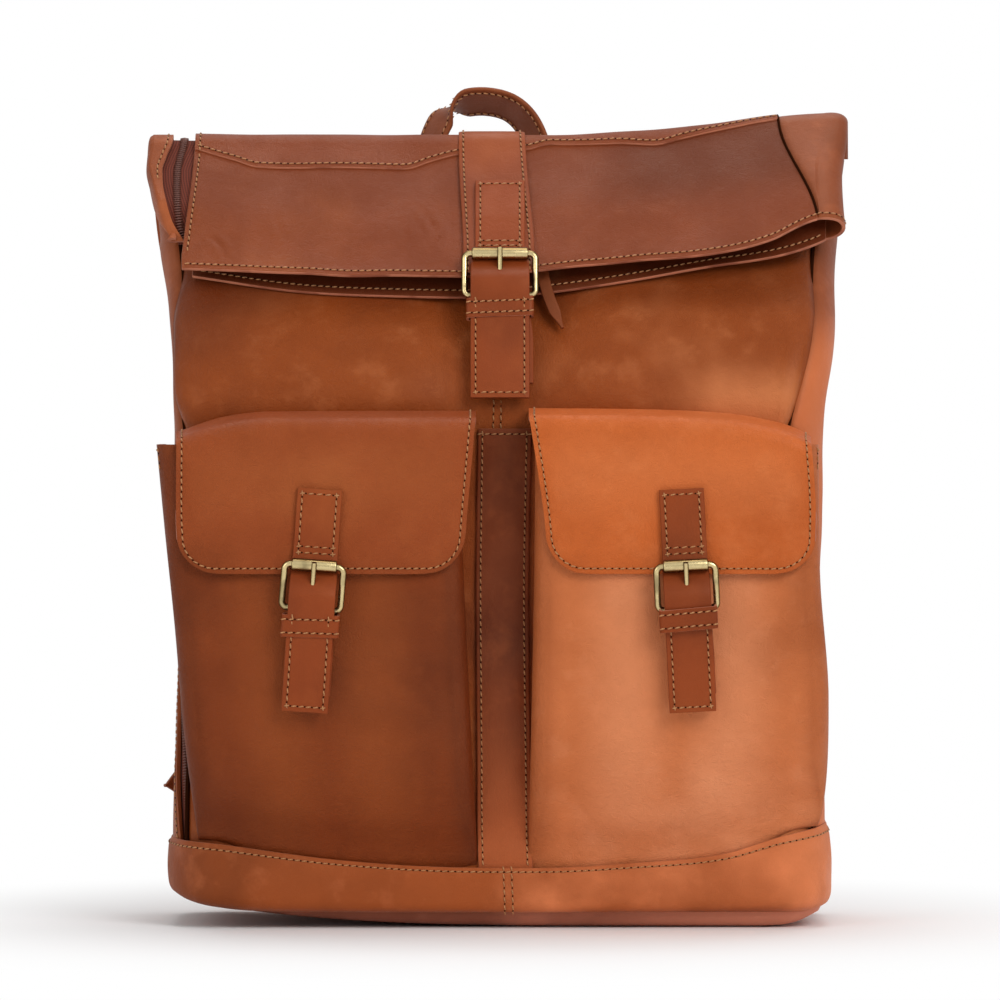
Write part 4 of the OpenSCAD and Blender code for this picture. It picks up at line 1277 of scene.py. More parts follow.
    def build_zip(self, left: Surface) -> None:
        """Tape, coil and topstitching of the side zip."""
        z = np.linspace(self.low + 6, self.zip_end - 14, 90)
        across = np.linspace(-10.5, 10.5, 7)
        u = np.stack([self.zip_u(z, k) for k in across], axis=1)
        zz = np.broadcast_to(z[:, None], u.shape)
        tape = grid_mesh("side_zip_tape", self.wall(u, zz, -3.4))
        settle(cloth(tape, TAPE), "bag", "zip_tape", "side_zip")
        height = z[z < self.zip_end - 26]
        mid = self.wall(self.zip_u(height, 0.0), height, -2.7)
        out = unit(self.wall(self.zip_u(height, 0.0), height, 0.0) - mid)
        settle(TOOTH.along("side_zip_coil", [(mid, out)], COIL), "bag", "zip_tape")
        rows = []
        for sign in (1, -1):
            zs = np.linspace(self.low + 26, self.zip_end - 34, 150)
            us = self.zip_u(zs, sign * (self.half_gap(zs) + 2.6))
            p = left(us, zs)
            rows.append((p + unit(left(us, zs) - self.wall(us, zs, -3)) * 0.3,
                         unit(self.wall(us, zs, 1.0) - self.wall(us, zs, -1.0))))
        settle(sewn("side_zip_stitches", rows), "bag", "strap_leather")

    def build_back(self) -> None:
        """Back panel and its yoke."""
        z = spread(self.low, 415.5, 110, 0.2)
        t = spread(0, 1, 120, 0.7)
        u, zz = np.meshgrid(3.5 + 2.0 * t, z)

        def back(uc: Array, zc: Array) -> Array:
            """Back panel with its seams."""
            dip = self.seam_gap(uc, zc, (np.full_like(zc, 3.5), np.full_like(zc, 5.5)))
            return self.wall(uc, zc, dip * (zc < 404))

        settle(hide("back_leather", back(u, zz), Shade.BACK, edge=False), "bag", "tan_leather",
               "back_panel")

        def yoke(a: Array, b: Array) -> Array:
            """Yoke on the back panel."""
            return back(4.5 - a / 300.0, b) + np.array([0, 2.5, 0])

        top, low, half = 404.0, 356.0, 118.0
        a = spread(-half, half, 70)
        cut = low + 10 * (np.abs(a) / half) ** 2
        rows = np.linspace(0, 1, 22)[:, None]
        b = cut[None, :] * (1 - rows) + top * rows
        aa = np.broadcast_to(a[None, :], b.shape)
        settle(hide("yoke_leather", yoke(-aa[:, ::-1], b[:, ::-1]), Shade.BACK, thickness=2.0),
               "bag", "tan_leather", "back_yoke")
        inset = 3.0
        x = np.linspace(-half + inset, half - inset, 60)
        line = [[k, low + inset + 10 * (abs(k) / half) ** 2] for k in x]
        rows_out = [row_on(yoke, line),
                    row_on(yoke, [[-half + inset, top - inset], [-half + inset, low + 14]]),
                    row_on(yoke, [[half - inset, low + 14], [half - inset, top - inset]]),
                    row_on(yoke, [[-half + inset, top - inset], [half - inset, top - inset]])]
        rows_out = [(p, np.where(n[:, 1:2] < 0, -n, n)) for p, n in rows_out]
        settle(sewn("yoke_stitches", rows_out), "bag", "strap_leather")

    def band_surface(self, u: Array, t: Array) -> Array:
        """Base band, by its place round the bag and its share of height, 0 at the foot."""
        u, t = np.broadcast_arrays(np.asarray(u, float), np.asarray(t, float))
        x = ring(u, 60.0 + 0 * u)[..., 0]
        away = np.abs((u + 3.5) % 8.0 - 4.0)
        back = smooth((away - 2.2) / 0.8)
        low = 7.6 + FOOT_LIFT(x) * (1 - 0.6 * back)
        top = BAND_TOP(x) * (1 - back) + 42.0 * back
        z = low + (top - low) * t
        under = np.clip((self.foot_share - t) / self.foot_share, 0, 1)
        off = self.side_off + (self.band_off - self.side_off) * (1 - smooth((away - 0.55) / 0.8))
        off = off + 0.8 * np.sin(math.pi * np.clip(t, 0, 1)) - 1.1 * smooth((t - 0.86) / 0.14)
        off = off - 8.5 * under ** 2.3
        z = z - 1.6 * np.sin(math.pi * under) + 2.0 * under ** 3
        return self.wall(u, np.maximum(z, 2.0), off)

    def build_band(self) -> None:
        """Base band with its top row and the double-stitched centre seam."""
        u = np.concatenate([np.linspace(k, k + 1, 64 if k in (0, 4) else 20, endpoint=False)
                            for k in range(8)])
        t = np.linspace(0, 1, 40)
        uu, tt = np.meshgrid(u, t)
        x = ring(uu, 60.0 + 0 * uu)[..., 0]
        # Painted light and shade: lighter towards the right, on the key lamp's side, and darker at the foot where
        # the band turns under.
        tone = 0.35 * smooth((x - 40) / 120) - 0.5 * smooth((0.2 - tt) / 0.2)
        band = hide("band_leather", self.band_surface(uu, tt), Shade.BAND, tone, closed=True)
        settle(band, "bag", "tan_leather", "base_band")
        rows = []
        us = np.linspace(0, 8, 560)
        ts = np.full_like(us, 0.91)
        p = self.band_surface(us, ts)
        out = unit(self.wall(us, 60 + 0 * us, 8.0) - self.wall(us, 60 + 0 * us, 0.0))
        rows.append((p + out * 0.3, out))
        for dx in (1.6, 6.0):
            ts = np.linspace(0.1, 0.98, 16)
            us = np.full_like(ts, 0.5 + dx / 304)
            p = self.band_surface(us, ts)
            out = np.tile(np.array([0.0, -1.0, 0.0]), (len(ts), 1))
            rows.append((p + out * 0.3, out))
        settle(sewn("band_stitches", rows), "bag", "strap_leather")

    def build_sole(self) -> None:
        """Sole and the stiff board on it."""
        u = np.concatenate([np.linspace(k, k + 1, 30 if k in (0, 4) else 12, endpoint=False)
                            for k in range(8)])
        rows = []
        x = ring(u, 60.0 + 0 * u)[..., 0]
        for off, z in ((-2.0, 18.0), (-2.4, 12.5), (-3.4, 7.0), (-5.5, 3.0), (-9.5, 0.9), (-24.0, 0.3)):
            p = LAYOUT.place(ring(u, np.full_like(u, 20.0), off))
            p[..., 2] = z + SOLE_LIFT(x) * (1.0 if off > -20 else 0.85)
            rows.append(p)
        centre = rows[-1].mean(axis=0)
        for k in (0.5, 0.0):
            rows.append(centre + (rows[-1] - centre) * k if k else np.repeat(centre[None], len(u), axis=0))
        sole = grid_mesh("sole_leather", np.array(rows[::-1]), closed=True)
        # Painted light: the sole is lighter towards the right, on the key lamp's side.
        tone_with_painted_light(sole, np.array([-0.1 + 0.9 * float(smooth((1000 * v.co.x + 20) / 140))
                               for v in sole.data.vertices]))
        dress(sole, MATERIALS[Shade.SOLE])
        settle(welded(sole), "bag", "dark_leather", "bottom_panel")
        card = grid_mesh("bottom_card", np.array([ring_card(k, 22.0) for k in (0.0, 0.5, 1.0)]
                                                 + [ring_card(1.0, 24.0), ring_card(0.5, 24.0),
                                                    ring_card(0.0, 24.0)]),
                         closed=True)
        dress(card, BOARD)
        settle(welded(card), "bag", "fibre_board", "bottom_board")

    def placket_surface(self, x: Array, z: Array) -> Array:
        """Strip between the pockets."""
        u = 0.5 + (x + 1.0) / 304
        crown = 1.0 * np.cos(np.clip((x - 2) / 15, -1, 1) * math.pi
                             / 2) + 0.5 * self.fine(np.stack([x * 1.3, 0 * x, z], -1))
        return self.wall(u, z, 2.4 + crown)

    def build_placket(self) -> None:
        """Dark strip between the pockets, sewn down both sides and across its top."""
        x = np.linspace(-13, 16.5, 26)
        z = np.linspace(28, 270.5, 110)
        xx, zz = np.meshgrid(x, z)
        # Painted shade: lighter low down and darker towards the top, under the pocket flaps.
        tone = 0.55 * smooth((160 - zz) / 120) - 0.35 * smooth((zz - 190) / 60)
        settle(hide("placket_leather", self.placket_surface(xx, zz), Shade.PLACKET, tone, 1.8),
               "bag", "tan_leather", "front_placket")
        rows = [row_on(self.placket_surface, [[k, 36], [k, 268]]) for k in (-10.4, 13.8)]
        rows.append(row_on(self.placket_surface, [[-12, 267.6], [15.6, 267.6]]))
        settle(sewn("placket_stitches", rows), "bag", "strap_leather")

    def build_lining(self) -> None:
        """Cloth lining that shows in the open mouth."""
        z = np.linspace(20, 414, 60)
        u = np.linspace(0, 8, 96, endpoint=False)
        uu, zz = np.meshgrid(u, z)
        wall = ring(uu, zz, -np.minimum(4.6, (LAYOUT.back(zz) - LAYOUT.front(zz)) / 2 - 2.2))
        lining = grid_mesh("lining", LAYOUT.place(wall), closed=True)
        settle(cloth(lining, LINING, 0.5), "bag", "lining_cloth", "main_lining")

    def build(self) -> None:
        """The whole body of the bag."""
        self.build_front()
        self.build_sides()
        self.build_back()
        self.build_band()
        self.build_sole()
        self.build_placket()
        self.build_lining()


# ---- pockets and flaps


class Side(Enum):
    """Left or right, as the viewer in front of the bag sees it."""

    LEFT = "left"
    RIGHT = "right"


@dataclass
class Pocket:
    """One front pocket: bellows, front and flap."""

    side: Side
    inner: Profile
    outer: Profile
    depth: Profile
    flap_inner: Profile
    flap_outer: Profile
    flap_top: Profile
    leather: Shade
    flap_leather: Shade
    top: float = 262.0
    foot: float = 27.0
    corner: float = 9.0
    flap_low: float = 192.0
    flap_corner: float = 21.0
    flap_face: float = -99.7
    seed: int = 5

    def __post_init__(self) -> None:
        """Fixed waves of this pocket's leather."""
        self.wave = Ripple(self.seed, 80.0)
        self.fine = Ripple(self.seed + 20, 30.0)

    @property
    def sign(self) -> float:
        """-1 on the left, 1 on the right."""
        return -1.0 if self.side is Side.LEFT else 1.0

    def surface(self, s: Array, z: Array) -> Array:
        """Skin of the pocket.

        Args:
            s: place from the left wall (0) by the left side (1), its corner (2), the
                front (3) and the other corner (4) to the right wall (5).
            z: height.

        Returns:
            Points, carried to their depth.
        """
        s, z = np.broadcast_arrays(np.asarray(s, float), np.asarray(z, float))
        a, b = self.inner(z), self.outer(z)
        xl, xr = np.minimum(a, b), np.maximum(a, b)
        near = xl + (xr - xl) * np.clip(s - 2, 0, 1)
        face = self.depth(z - 1.25 * np.maximum(BAND_TOP(near) - 37, 0))
        wall = -61.0 + 0 * z
        r = np.minimum(self.corner, np.maximum((wall - face) * 0.45, 1.0))
        k = np.clip(np.floor(s).astype(int), 0, 4)
        t = s - k
        arc = np.radians(90 * t)
        x = np.choose(k, [xl, xl + r * (1 - np.cos(arc)), xl + r + (xr - xl - 2 * r) * t,
                          xr - r + r * np.sin(arc), xr])
        y = np.choose(k, [wall + (face + r - wall) * t, face + r - r * np.sin(arc), face,
                          face + r - r * np.cos(arc),
                          face + r + (wall - face - r) * t])
        mid = np.where(k == 2, 4 * t * (1 - t), 0.0)
        p = np.stack([x, y, z], axis=-1)
        tall = smooth((z - 40) / 60)
        puff = mid * (2.2 * np.exp(-(((z - 120) / 90) ** 2)))
        uneven = (1.0 * self.wave(p) + 0.3 * self.fine(p)) * tall
        fold = np.where((k == 0) | (k == 4), -3.2 * np.sin(math.pi * t) * smooth((z - 60) / 60), 0.0)
        nx = np.where(k == 0, -1.0, np.where(k == 4, 1.0, 0.0))
        p[..., 1] -= puff + np.where(k == 2, uneven, 0.3 * uneven)
        p[..., 0] += nx * fold
        share = np.clip(s - 2, 0, 1)
        share = share if self.side is Side.RIGHT else 1 - share
        tuck = smooth((BAND_TOP(near) + 2.5 - z) / 7) * smooth((share - 0.84) / 0.14)
        p[..., 0] -= self.sign * 2.0 * tuck
        p[..., 1] += 17.0 * tuck
        return LAYOUT.place(p)

    def build_pocket(self) -> None:
        """Bellows and front of the pocket, one folded skin."""
        s = np.concatenate([np.linspace(0, 1, 14, endpoint=False), np.linspace(1, 2, 10, endpoint=False),
                            np.linspace(2, 3, 80, endpoint=False), np.linspace(3, 4, 10, endpoint=False),
                            np.linspace(4, 5, 14)])
        z = spread(self.foot, self.top, 110, 0.3)
        ss, zz = np.meshgrid(s, z)
        mid = np.clip(ss - 2, 0, 1)
        edge = np.minimum(mid, 1 - mid)
        # Painted light and shade: darker where the front turns into the bellows and lighter in a band just inside,
        # a painted highlight on the rounded corners; darker towards the foot, painted shade near the band.
        tone = -0.6 * np.exp(-edge * 16) + 0.5 * np.exp(-((edge - 0.3) / 0.2) ** 2)
        tone -= 0.35 * smooth((70 - zz) / 40)
        name = self.side.value + "_pocket"
        piece = hide(name + "_leather", self.surface(ss, zz), self.leather, tone, 2.0)
        settle(piece, "bag", "tan_leather", name)
        rows = [row_on(self.surface, [[k, self.top - 3], [k + 0.92, self.top - 3]], delta=0.02)
                for k in (0.04, 4.04)]
        outer = 1.25 if self.side is Side.LEFT else 3.75
        rows.append(row_on(self.surface, [[outer, 250], [outer, 262 - 3]], delta=0.02))
        settle(sewn(name + "_stitches", rows), "bag", "strap_leather")

    def flap_path(self, x: Array, run: Array) -> Array:
        """Points of the flap.

        Args:
            x: place across, on the view plane.
            run: distance from the root, along the flap.

        Returns:
            Points, carried to their depth.
        """
        x, run = np.broadcast_arrays(np.asarray(x, float), np.asarray(run, float))
        top = self.flap_top(np.abs(x))
        root, face, r = -63.6, self.flap_face, 9.0
        flat = abs(face - root) - r
        arc = r * math.pi / 2
        on_top, on_arc = run < flat, (run >= flat) & (run < flat + arc)
        phi = np.clip((run - flat) / r, 0, math.pi / 2)
        y = np.where(on_top, root - run, np.where(on_arc, root - flat - r * np.sin(phi), face))
        z = np.where(on_top, top,
                     np.where(on_arc, top - r * (1 - np.cos(phi)), top - r - (run - flat - arc)))
        z = z + np.where(on_top, -2.2 * smooth(run / flat) + 1.6
                         * np.sin(math.pi * np.clip(run / flat, 0, 1)), -2.2)
        p = np.stack([x, y, z], axis=-1)
        free = smooth((run - flat) / 20)
        calm = 1 - 0.85 * bell(np.abs(x) - 99.0, 22.0)
        p[..., 1] -= (0.8 * self.wave(p * 0.8 + 40) + 0.25 * self.fine(p)) * free * calm
        edge = np.minimum(np.abs(x - self.flap_inner(z)), np.abs(self.flap_outer(z) - x))
        p[..., 1] += 1.6 * np.exp(-edge / 7.0) * free
        return LAYOUT.place(p)

    def reach(self, x: Array) -> Array:
        """Length of the flap along its path at a place across it."""
        top = self.flap_top(np.abs(x))
        flat = abs(self.flap_face + 63.6) - 9.0
        return flat + 9.0 * math.pi / 2 + (top - 2.2 - 9.0 - self.flap_low)

    def build_flap(self) -> None:
        """Flap with round lower corners, sewn all round."""
        rows_n, cols = 90, 110
        t = spread(0, 1, cols, 1.0)
        v = spread(0, 1, rows_n, 0.3)
        xm = 0.5 * (self.flap_inner(220.0) + self.flap_outer(220.0))
        length = float(self.reach(np.array(xm)))

        def edges(run: Array) -> tuple[Array, Array]:
            """Left and right end of the flap at a distance from its root."""
            z = self.flap_low + (length - run)
            a, b = self.flap_inner(z), self.flap_outer(z)
            left, right = np.minimum(a, b), np.maximum(a, b)
            d = np.clip(self.flap_corner - (length - run), 0, self.flap_corner)
            cut = self.flap_corner - np.sqrt(np.maximum(self.flap_corner ** 2 - d ** 2, 0))
            return left + cut, right - cut

        run = v * length
        left, right = edges(run)
        x = left[:, None] + (right - left)[:, None] * t[None, :]
        rr = np.broadcast_to(run[:, None], x.shape)

        def skin(xa: Array, neg: Array) -> Array:
            """Flap surface with its second coordinate running up."""
            return self.flap_path(xa, -neg * self.reach(xa) / length)

        # Painted light and shade: darker towards the lower edge and along both sides, lighter across the middle as
        # a painted highlight.
        tone = -0.4 * smooth((rr - length + 40) / 60) + 0.35 * np.exp(-((rr - length * 0.55) / 30) ** 2)
        tone = tone - 0.5 * np.exp(-np.minimum(t, 1 - t)[None, :] * 30)
        name = self.side.value + "_flap"
        piece = hide(name + "_leather", skin(x[::-1], -rr[::-1]), self.flap_leather, tone[::-1], 2.4)
        root, free = np.array([0.0, -62.0, 279.0]), np.array([0.0, -76.0, 276.0])
        bridge(piece, ("bag", name), root, free, "tan_leather", name)
        inset = 3.0
        corner = self.flap_corner - inset
        line = []
        for r0 in np.linspace(8, length - self.flap_corner, 30):
            line.append([edges(np.array(r0))[0] + inset, -r0])
        for k in np.linspace(0, 90, 14)[1:]:
            a = math.radians(k)
            base = edges(np.array(length - self.flap_corner))[0] + self.flap_corner
            line.append([base - corner * math.cos(a), -(length - self.flap_corner + corner * math.sin(a))])
        for k in np.linspace(90, 0, 14):
            a = math.radians(k)
            base = edges(np.array(length - self.flap_corner))[1] - self.flap_corner
            line.append([base + corner * math.cos(a), -(length - self.flap_corner + corner * math.sin(a))])
        for r0 in np.linspace(length - self.flap_corner, 8, 30)[1:]:
            line.append([edges(np.array(r0))[1] - inset, -r0])
        row = row_on(skin, np.array(line, float))
        bridge(sewn(name + "_stitches", [row]), ("bag", name), root, free, "strap_leather")

    def build(self) -> None:
        """Pocket and flap."""
        self.build_pocket()
        self.build_flap()


POCKET_DEPTH = Profile((24, -61), (36, -63.5), (46, -67), (60, -75.5), (90, -87), (131, -92), (174, -94),
                       (262, -95))
LEFT_POCKET = Pocket(
    Side.LEFT,
    inner=Profile((27, -11.5), (200, -20), (262, -22)),
    outer=Profile((27, -160), (49, -163), (100, -170), (167, -176), (215, -181), (262, -185.5)),
    depth=POCKET_DEPTH,
    flap_inner=Profile((192, -20), (205, -19.2), (278, -13)),
    flap_outer=Profile((192, -173), (230, -175), (278, -174.8)),
    flap_top=Profile((0, 279.5), (124, 279), (150, 276), (173, 268.5)),
    leather=Shade.POCKET_L,
    flap_leather=Shade.FLAP_L,
)
RIGHT_POCKET = Pocket(
    Side.RIGHT,
    inner=Profile((27, 15), (200, 18.5), (262, 19)),
    outer=Profile((27, 164), (43, 168.5), (70, 175), (124, 177.5), (189, 173), (262, 172)),
    depth=POCKET_DEPTH,
    flap_inner=Profile((192, 26), (221, 24), (278, 15.5)),
    flap_outer=Profile((192, 169.5), (230, 170.5), (278, 168)),
    flap_top=Profile((0, 281), (100, 279.5), (140, 275.5), (162, 269), (170, 264)),
    leather=Shade.POCKET_R,
    flap_leather=Shade.FLAP_R,
    seed=8,
)


# ---- ribbons of leather


@dataclass
class Ribbon:
    """A flat strap along a path, with its width and outward directions."""

    points: Array
    wide: Array
    out: Array

    @classmethod
    def in_plane(cls, path: Sequence[Sequence[float]], step: float = 2.0, passes: int = 2) -> "Ribbon":
        """A ribbon whose width runs along x and whose path lies in the plane of y and z.

        Args:
            path: (y, z) points, in the order in which the ribbon runs down its outer face.
            step: distance between points.
            passes: how soft the corners are.

        Returns:
            The ribbon, at x = 0.
        """
        flat = rounded(path, step, passes)
        points = np.column_stack([np.zeros(len(flat)), flat])
        way = unit(np.gradient(points, axis=0))
        wide = np.tile(np.array([1.0, 0.0, 0.0]), (len(flat), 1))
        return cls(points, wide, unit(np.cross(way, wide)))

    def moved(self, how: Callable[[Array], Array]) -> "Ribbon":
        """The ribbon under a rigid motion."""
        zero = how(np.zeros((1, 3)))
        return Ribbon(how(self.points), how(self.wide) - zero, how(self.out) - zero)

    def mesh(self, name: str, width: Array | float, thick: Array | float, crown: float = 0.25,
             round_edge: float = 0.7) -> Piece:
        """A closed strap with eased edges.

        Args:
            name: name of the piece.
            width: one width, or one for each point.
            thick: one thickness, or one for each point.
            crown: how far the outer face rises in the middle.
            round_edge: radius of the long edges.

        Returns:
            The new object.
        """
        count = len(self.points)
        w = np.broadcast_to(np.asarray(width, float), (count,)) / 2
        t = np.broadcast_to(np.asarray(thick, float), (count,)) / 2
        r = round_edge
        section = []
        for cx, cy, start in ((1, -1, -90), (1, 1, 0), (-1, 1, 90), (-1, -1, 180)):
            for a in np.radians(start + np.array([0, 30, 60, 90])):
                section.append((cx, cy, r * math.cos(a), r * math.sin(a)))
            if (cx, cy) == (1, 1):
                section += [(k, 1, 0.0, r) for k in (0.6, 0.2, -0.2, -0.6)]
            if (cx, cy) == (-1, -1):
                section += [(k, -1, 0.0, -r) for k in (-0.5, 0.0, 0.5)]
        cols = []
        for cx, cy, dx, dy in section:
            across = cx * (w - r) + dx
            lift = cy * (t - r) + dy + (crown * (1 - cx * cx) if cy > 0 else 0.0)
            cols.append(self.points + self.wide * across[:, None] + self.out * lift[:, None])
        grid = np.stack(cols, axis=1)
        first = np.repeat(self.points[:1, None], grid.shape[1], axis=1)
        last = np.repeat(self.points[-1:, None], grid.shape[1], axis=1)
        obj = grid_mesh(name, np.concatenate([first, grid, last]), closed=True)
        welded(obj)
        faced(obj)
        return obj

    def line(self, across: Array | float, lift: float, start: float = 0.0, stop: float = 0.0) -> Row:
        """A row along the ribbon.

        Args:
            across: distance from its middle line.
            lift: height over its middle layer.
            start: length left out at its start.
            stop: length left out at its end.

        Returns:
            Points and outward directions.
        """
        run = run_of(self.points)
        at = np.linspace(start, run[-1] - stop, max(4, int((run[-1] - start - stop) / 2)))
        spot, wide, out = (sampled(at, run, v) for v in (self.points, self.wide, self.out))
        return spot + wide * across + out * lift, out

    def bar(self, at: float, half: float, lift: float) -> Row:
        """A row across the ribbon at a distance from its start, or from its end if negative."""
        run = run_of(self.points)
        where = at if at >= 0 else run[-1] + at
        spot, wide, out = (sampled(where, run, v) for v in (self.points, self.wide, self.out))
        across = np.linspace(-half, half, 8)[:, None]
        return spot + across * wide + out * lift, np.tile(out, (8, 1))


# ---- rolled mouth


def curve(*points: tuple[float, float]) -> Profile:
    """A dataclass field that holds a Profile through the points."""
    return field(default_factory=lambda: Profile(*points))


@dataclass
class Mouth:
    """The mouth tube, folded over the top and hanging down the front."""

    bend: float = 30.0
    outer_rim: Profile = curve(
        (-190, 358.5), (-172, 358), (-107, 355), (-53, 353), (-24, 353), (18, 356), (74, 362), (118, 366),
        (147, 374), (161, 381), (171, 384.5), (188, 386))
    inner_rim: Profile = curve(
        (-190, 356), (-167, 352), (-113, 344), (-24, 340.5), (19, 342), (74, 350), (118, 358), (161, 364),
        (178, 371), (188, 379))
    lift: Profile = curve((-190, 0.5), (0, 0), (40, 0.5), (110, 5), (150, 10.5), (188, 13.5))
    seam: Profile = curve(
        (-163.6, 421.2), (-143.6, 414.7), (-130, 410.4), (-52, 410.2), (-36.7, 414.7), (-22.7, 418.5),
        (14.6, 421.2), (28, 424.5), (61.5, 424.5), (83, 423.4), (99, 427), (134, 434.7), (150, 437.4))
    left_edge: Profile = curve((-30, -164), (6, -165), (78, -172))
    left_strip: Profile = curve((-30, -176), (-4, -176.6), (8, -180), (18, -182.4), (38, -181), (52, -177),
                                (62, -171), (76, -168))
    right_seam: Profile = curve((-30, 149), (4, 151), (62, 170), (90, 173))
    left_end: Profile = curve((-30, 189.5), (2, 190.3), (14, 191), (24, 189.4), (38, 187), (48, 184),
                              (60, 178))
    right_end: Profile = curve((-30, 188), (6, 187.5), (36, 184.8), (58, 185.6), (80, 187.5))
    wave: Ripple = field(default_factory=lambda: Ripple(14, 90.0))
    fine: Ripple = field(default_factory=lambda: Ripple(17, 30.0))
    creases: tuple = (
        (((-43, 44), (-35, 58), (-33.5, 66), (-37, 80)), 1.15),
        (((-53, 54), (-50, 64), (-50, 76)), 0.8),
        (((-46, 50), (-42, 62), (-43, 70)), 0.55),
        (((-156, 66), (-150, 72), (-149, 80)), 0.7),
        (((-120, 52), (-118, 66)), 0.6),
    )

    def at(self, x: Array, n: Array, w: Array) -> Array:
        """A point of the tube.

        Args:
            x: place across, on the view plane.
            n: distance from the tube's inner crease.
            w: distance along the tube from the end of its bend, negative in the bend.

        Returns:
            The point, carried to its depth.
        """
        x, n, w = np.broadcast_arrays(np.asarray(x, float), np.asarray(n, float), np.asarray(w, float))
        angle = np.radians(143.0 * np.clip(1 + w / self.bend, 0, 1))
        v = np.clip(w, 0, None)
        c, s = math.cos(math.radians(143)), math.sin(math.radians(143))
        rise = self.lift(x) * smooth(angle / 1.3)
        y = LAYOUT.fold_y + n * np.cos(angle) - s * v
        z = LAYOUT.fold_z + rise + n * np.sin(angle) + c * v
        return LAYOUT.place(np.stack([x, y, z], axis=-1))

    def swell(self, x: Array, w: Array) -> Array:
        """Distance of the outer wall from the inner one, with its slack and wrinkles."""
        v = np.clip(w, 0, None)
        n = 12.0 + 6.0 * (np.minimum(v, 92) / 92) ** 1.5
        p = np.stack([x, 0 * x, w], axis=-1)
        n = n + 2.2 * np.sin(math.pi * np.clip(v / 85, 0, 1)) * (1 - 0.6 * bell(x, 30.0))
        n = n + (0.9 * self.wave(p) + 0.3 * self.fine(p)) * smooth((w + 24)
                                                                   / 30) * (1 - 0.8 * bell(x + 1.6, 24.0))
        for line, depth in self.creases:
            n = n + crease(x, w, line, depth)
        return n + 3.0 * smooth((x - 60) / 90) * smooth(v / 80)

    def outer_len(self, x: Array) -> Array:
        """Length of the outer wall beyond the bend, down to its rim."""
        n = 18.0 + 3.0 * smooth((x - 60) / 90)
        return (LAYOUT.fold_z + self.lift(x) + 0.602 * n - self.outer_rim(x)) / 0.799

    def inner_len(self, x: Array) -> Array:
        """Length of the inner wall beyond the bend, down to its rim."""
        return (LAYOUT.fold_z + self.lift(x) - self.inner_rim(x)) / 0.799

    def outer(self, x: Array, w: Array, off: float = 0.0) -> Array:
        """Outer wall."""
        return self.at(x, self.swell(x, w) + off, w)

    def face(self, off: float) -> Surface:
        """Outer wall at a height over it, with its second coordinate running up."""
        return lambda a, b: self.outer(a, -b, off)

    def seam_w(self, x: Array) -> Array:
        """Where the yoke's curved seam crosses the outer wall."""
        z = self.seam(x) - LAYOUT.fold_z - self.lift(x)
        return (0.602 * 12.6 - z) / 0.799

    def bend_ends(self) -> tuple[Array, Array]:
        """Points where the bend over the top starts and ends."""
        return np.array([0.0, 32.0, 416.0]), np.array([0.0, 10.4, 423.2])

    def wall_piece(self, name: str, left: Callable, right: Callable, top: Callable, low: Callable,
                   off: float,
                   shade: Shade, cols: int, rows: int, tone: Callable, thickness: float = 2.2) -> Piece:
        """A part of the outer wall between two sides, a top line and a low line.

        Args:
            name: name of the piece.
            left: left end at a distance along the tube.
            right: right end at a distance along the tube.
            top: distance along the tube at which it starts, by place across.
            low: distance along the tube at which it ends, by place across.
            off: height over the wall.
            shade: its leather.
            cols: points across.
            rows: points down.
            tone: tone by place across and distance along.
            thickness: leather thickness.

        Returns:
            The new object, its modifiers applied.
        """
        t, q = spread(0, 1, cols, 0.6), spread(0, 1, rows, 0.5)
        x = np.broadcast_to((left(10.0) * (1 - t) + right(10.0) * t)[None, :], (rows, cols)).astype(float)
        for _ in range(4):
            w = low(x) * (1 - q[:, None]) + top(x) * q[:, None]
            x = left(w) * (1 - t) + right(w) * t
        return hide(name, self.outer(x, w, off), shade, tone(x, w) + 0 * x, thickness)

    def build_outer(self) -> None:
        """Outer wall: the yoke that runs over the top, and the flap below its seam."""
        body = ("bag", "roll_top")
        start, end = self.bend_ends()
        yoke = self.wall_piece("roll_yoke_leather", self.left_edge, self.right_seam,
                               lambda x: -30.0 + 0 * x,
                               self.seam_w, 1.3, Shade.ROLL, 150, 40,
                               lambda x, w: 0.1 - 0.4 * smooth((-w - 12) / 10), 2.0)
        bridge(yoke, body, start, end, "tan_leather", "fold_bend")
        flap = self.wall_piece("roll_flap_leather", self.left_edge, self.right_seam,
                               lambda x: np.minimum(self.seam_w(x) - 7, 0.5),
                               self.outer_len, 0.0, Shade.ROLL, 170, 80,
                               lambda x,
                               w: -0.3 + 0.25 * smooth((w - 30) / 40) - 0.5 * smooth((x - 30) / 60)
                               * smooth((60 - w) / 40))
        settle(flap, "roll_top", "tan_leather", "roll_outer_panel")
        x = np.linspace(-162, 148, 160)
        surface, plain = self.face(1.4), self.face(0.0)
        rows = [row_on(surface, np.column_stack([x, -(self.seam_w(x) - 2.6)]))]
        x = np.linspace(-169, 170, 170)
        rows.append(row_on(plain, np.column_stack([x, -(self.outer_len(x) - 3.0)])))
        w = np.linspace(8, 74, 40)
        rows.append(row_on(plain, np.column_stack([self.left_edge(w) + 2.8, -w])))
        w = np.linspace(-28, 4, 16)
        row = row_on(surface, np.column_stack([self.left_edge(w) + 2.8, -w]))
        bridge(sewn("roll_edge_stitches", [row]), body, start, end, "strap_leather")
        settle(sewn("roll_stitches", rows), "roll_top", "strap_leather")

    def loop(self, turn: Array, w: Array) -> tuple[Array, Array]:
        """Right end of the tube, from the outer wall (turn 0) round to the inner one (1).

        Args:
            turn: share of the way round.
            w: distance along the tube.

        Returns:
            Place across and distance from the inner crease.
        """
        xe = self.right_end(w)
        n0 = self.swell(np.full_like(w, 170.0), w)
        a = np.pi * np.clip(turn, 0, 1)
        depth = np.where(w > 0, 14.0, 5.0 + 9.0 * smooth((w + 30) / 30))
        return xe - depth + depth * np.sin(a) ** 0.8, n0 / 2 + n0 / 2 * np.cos(a)

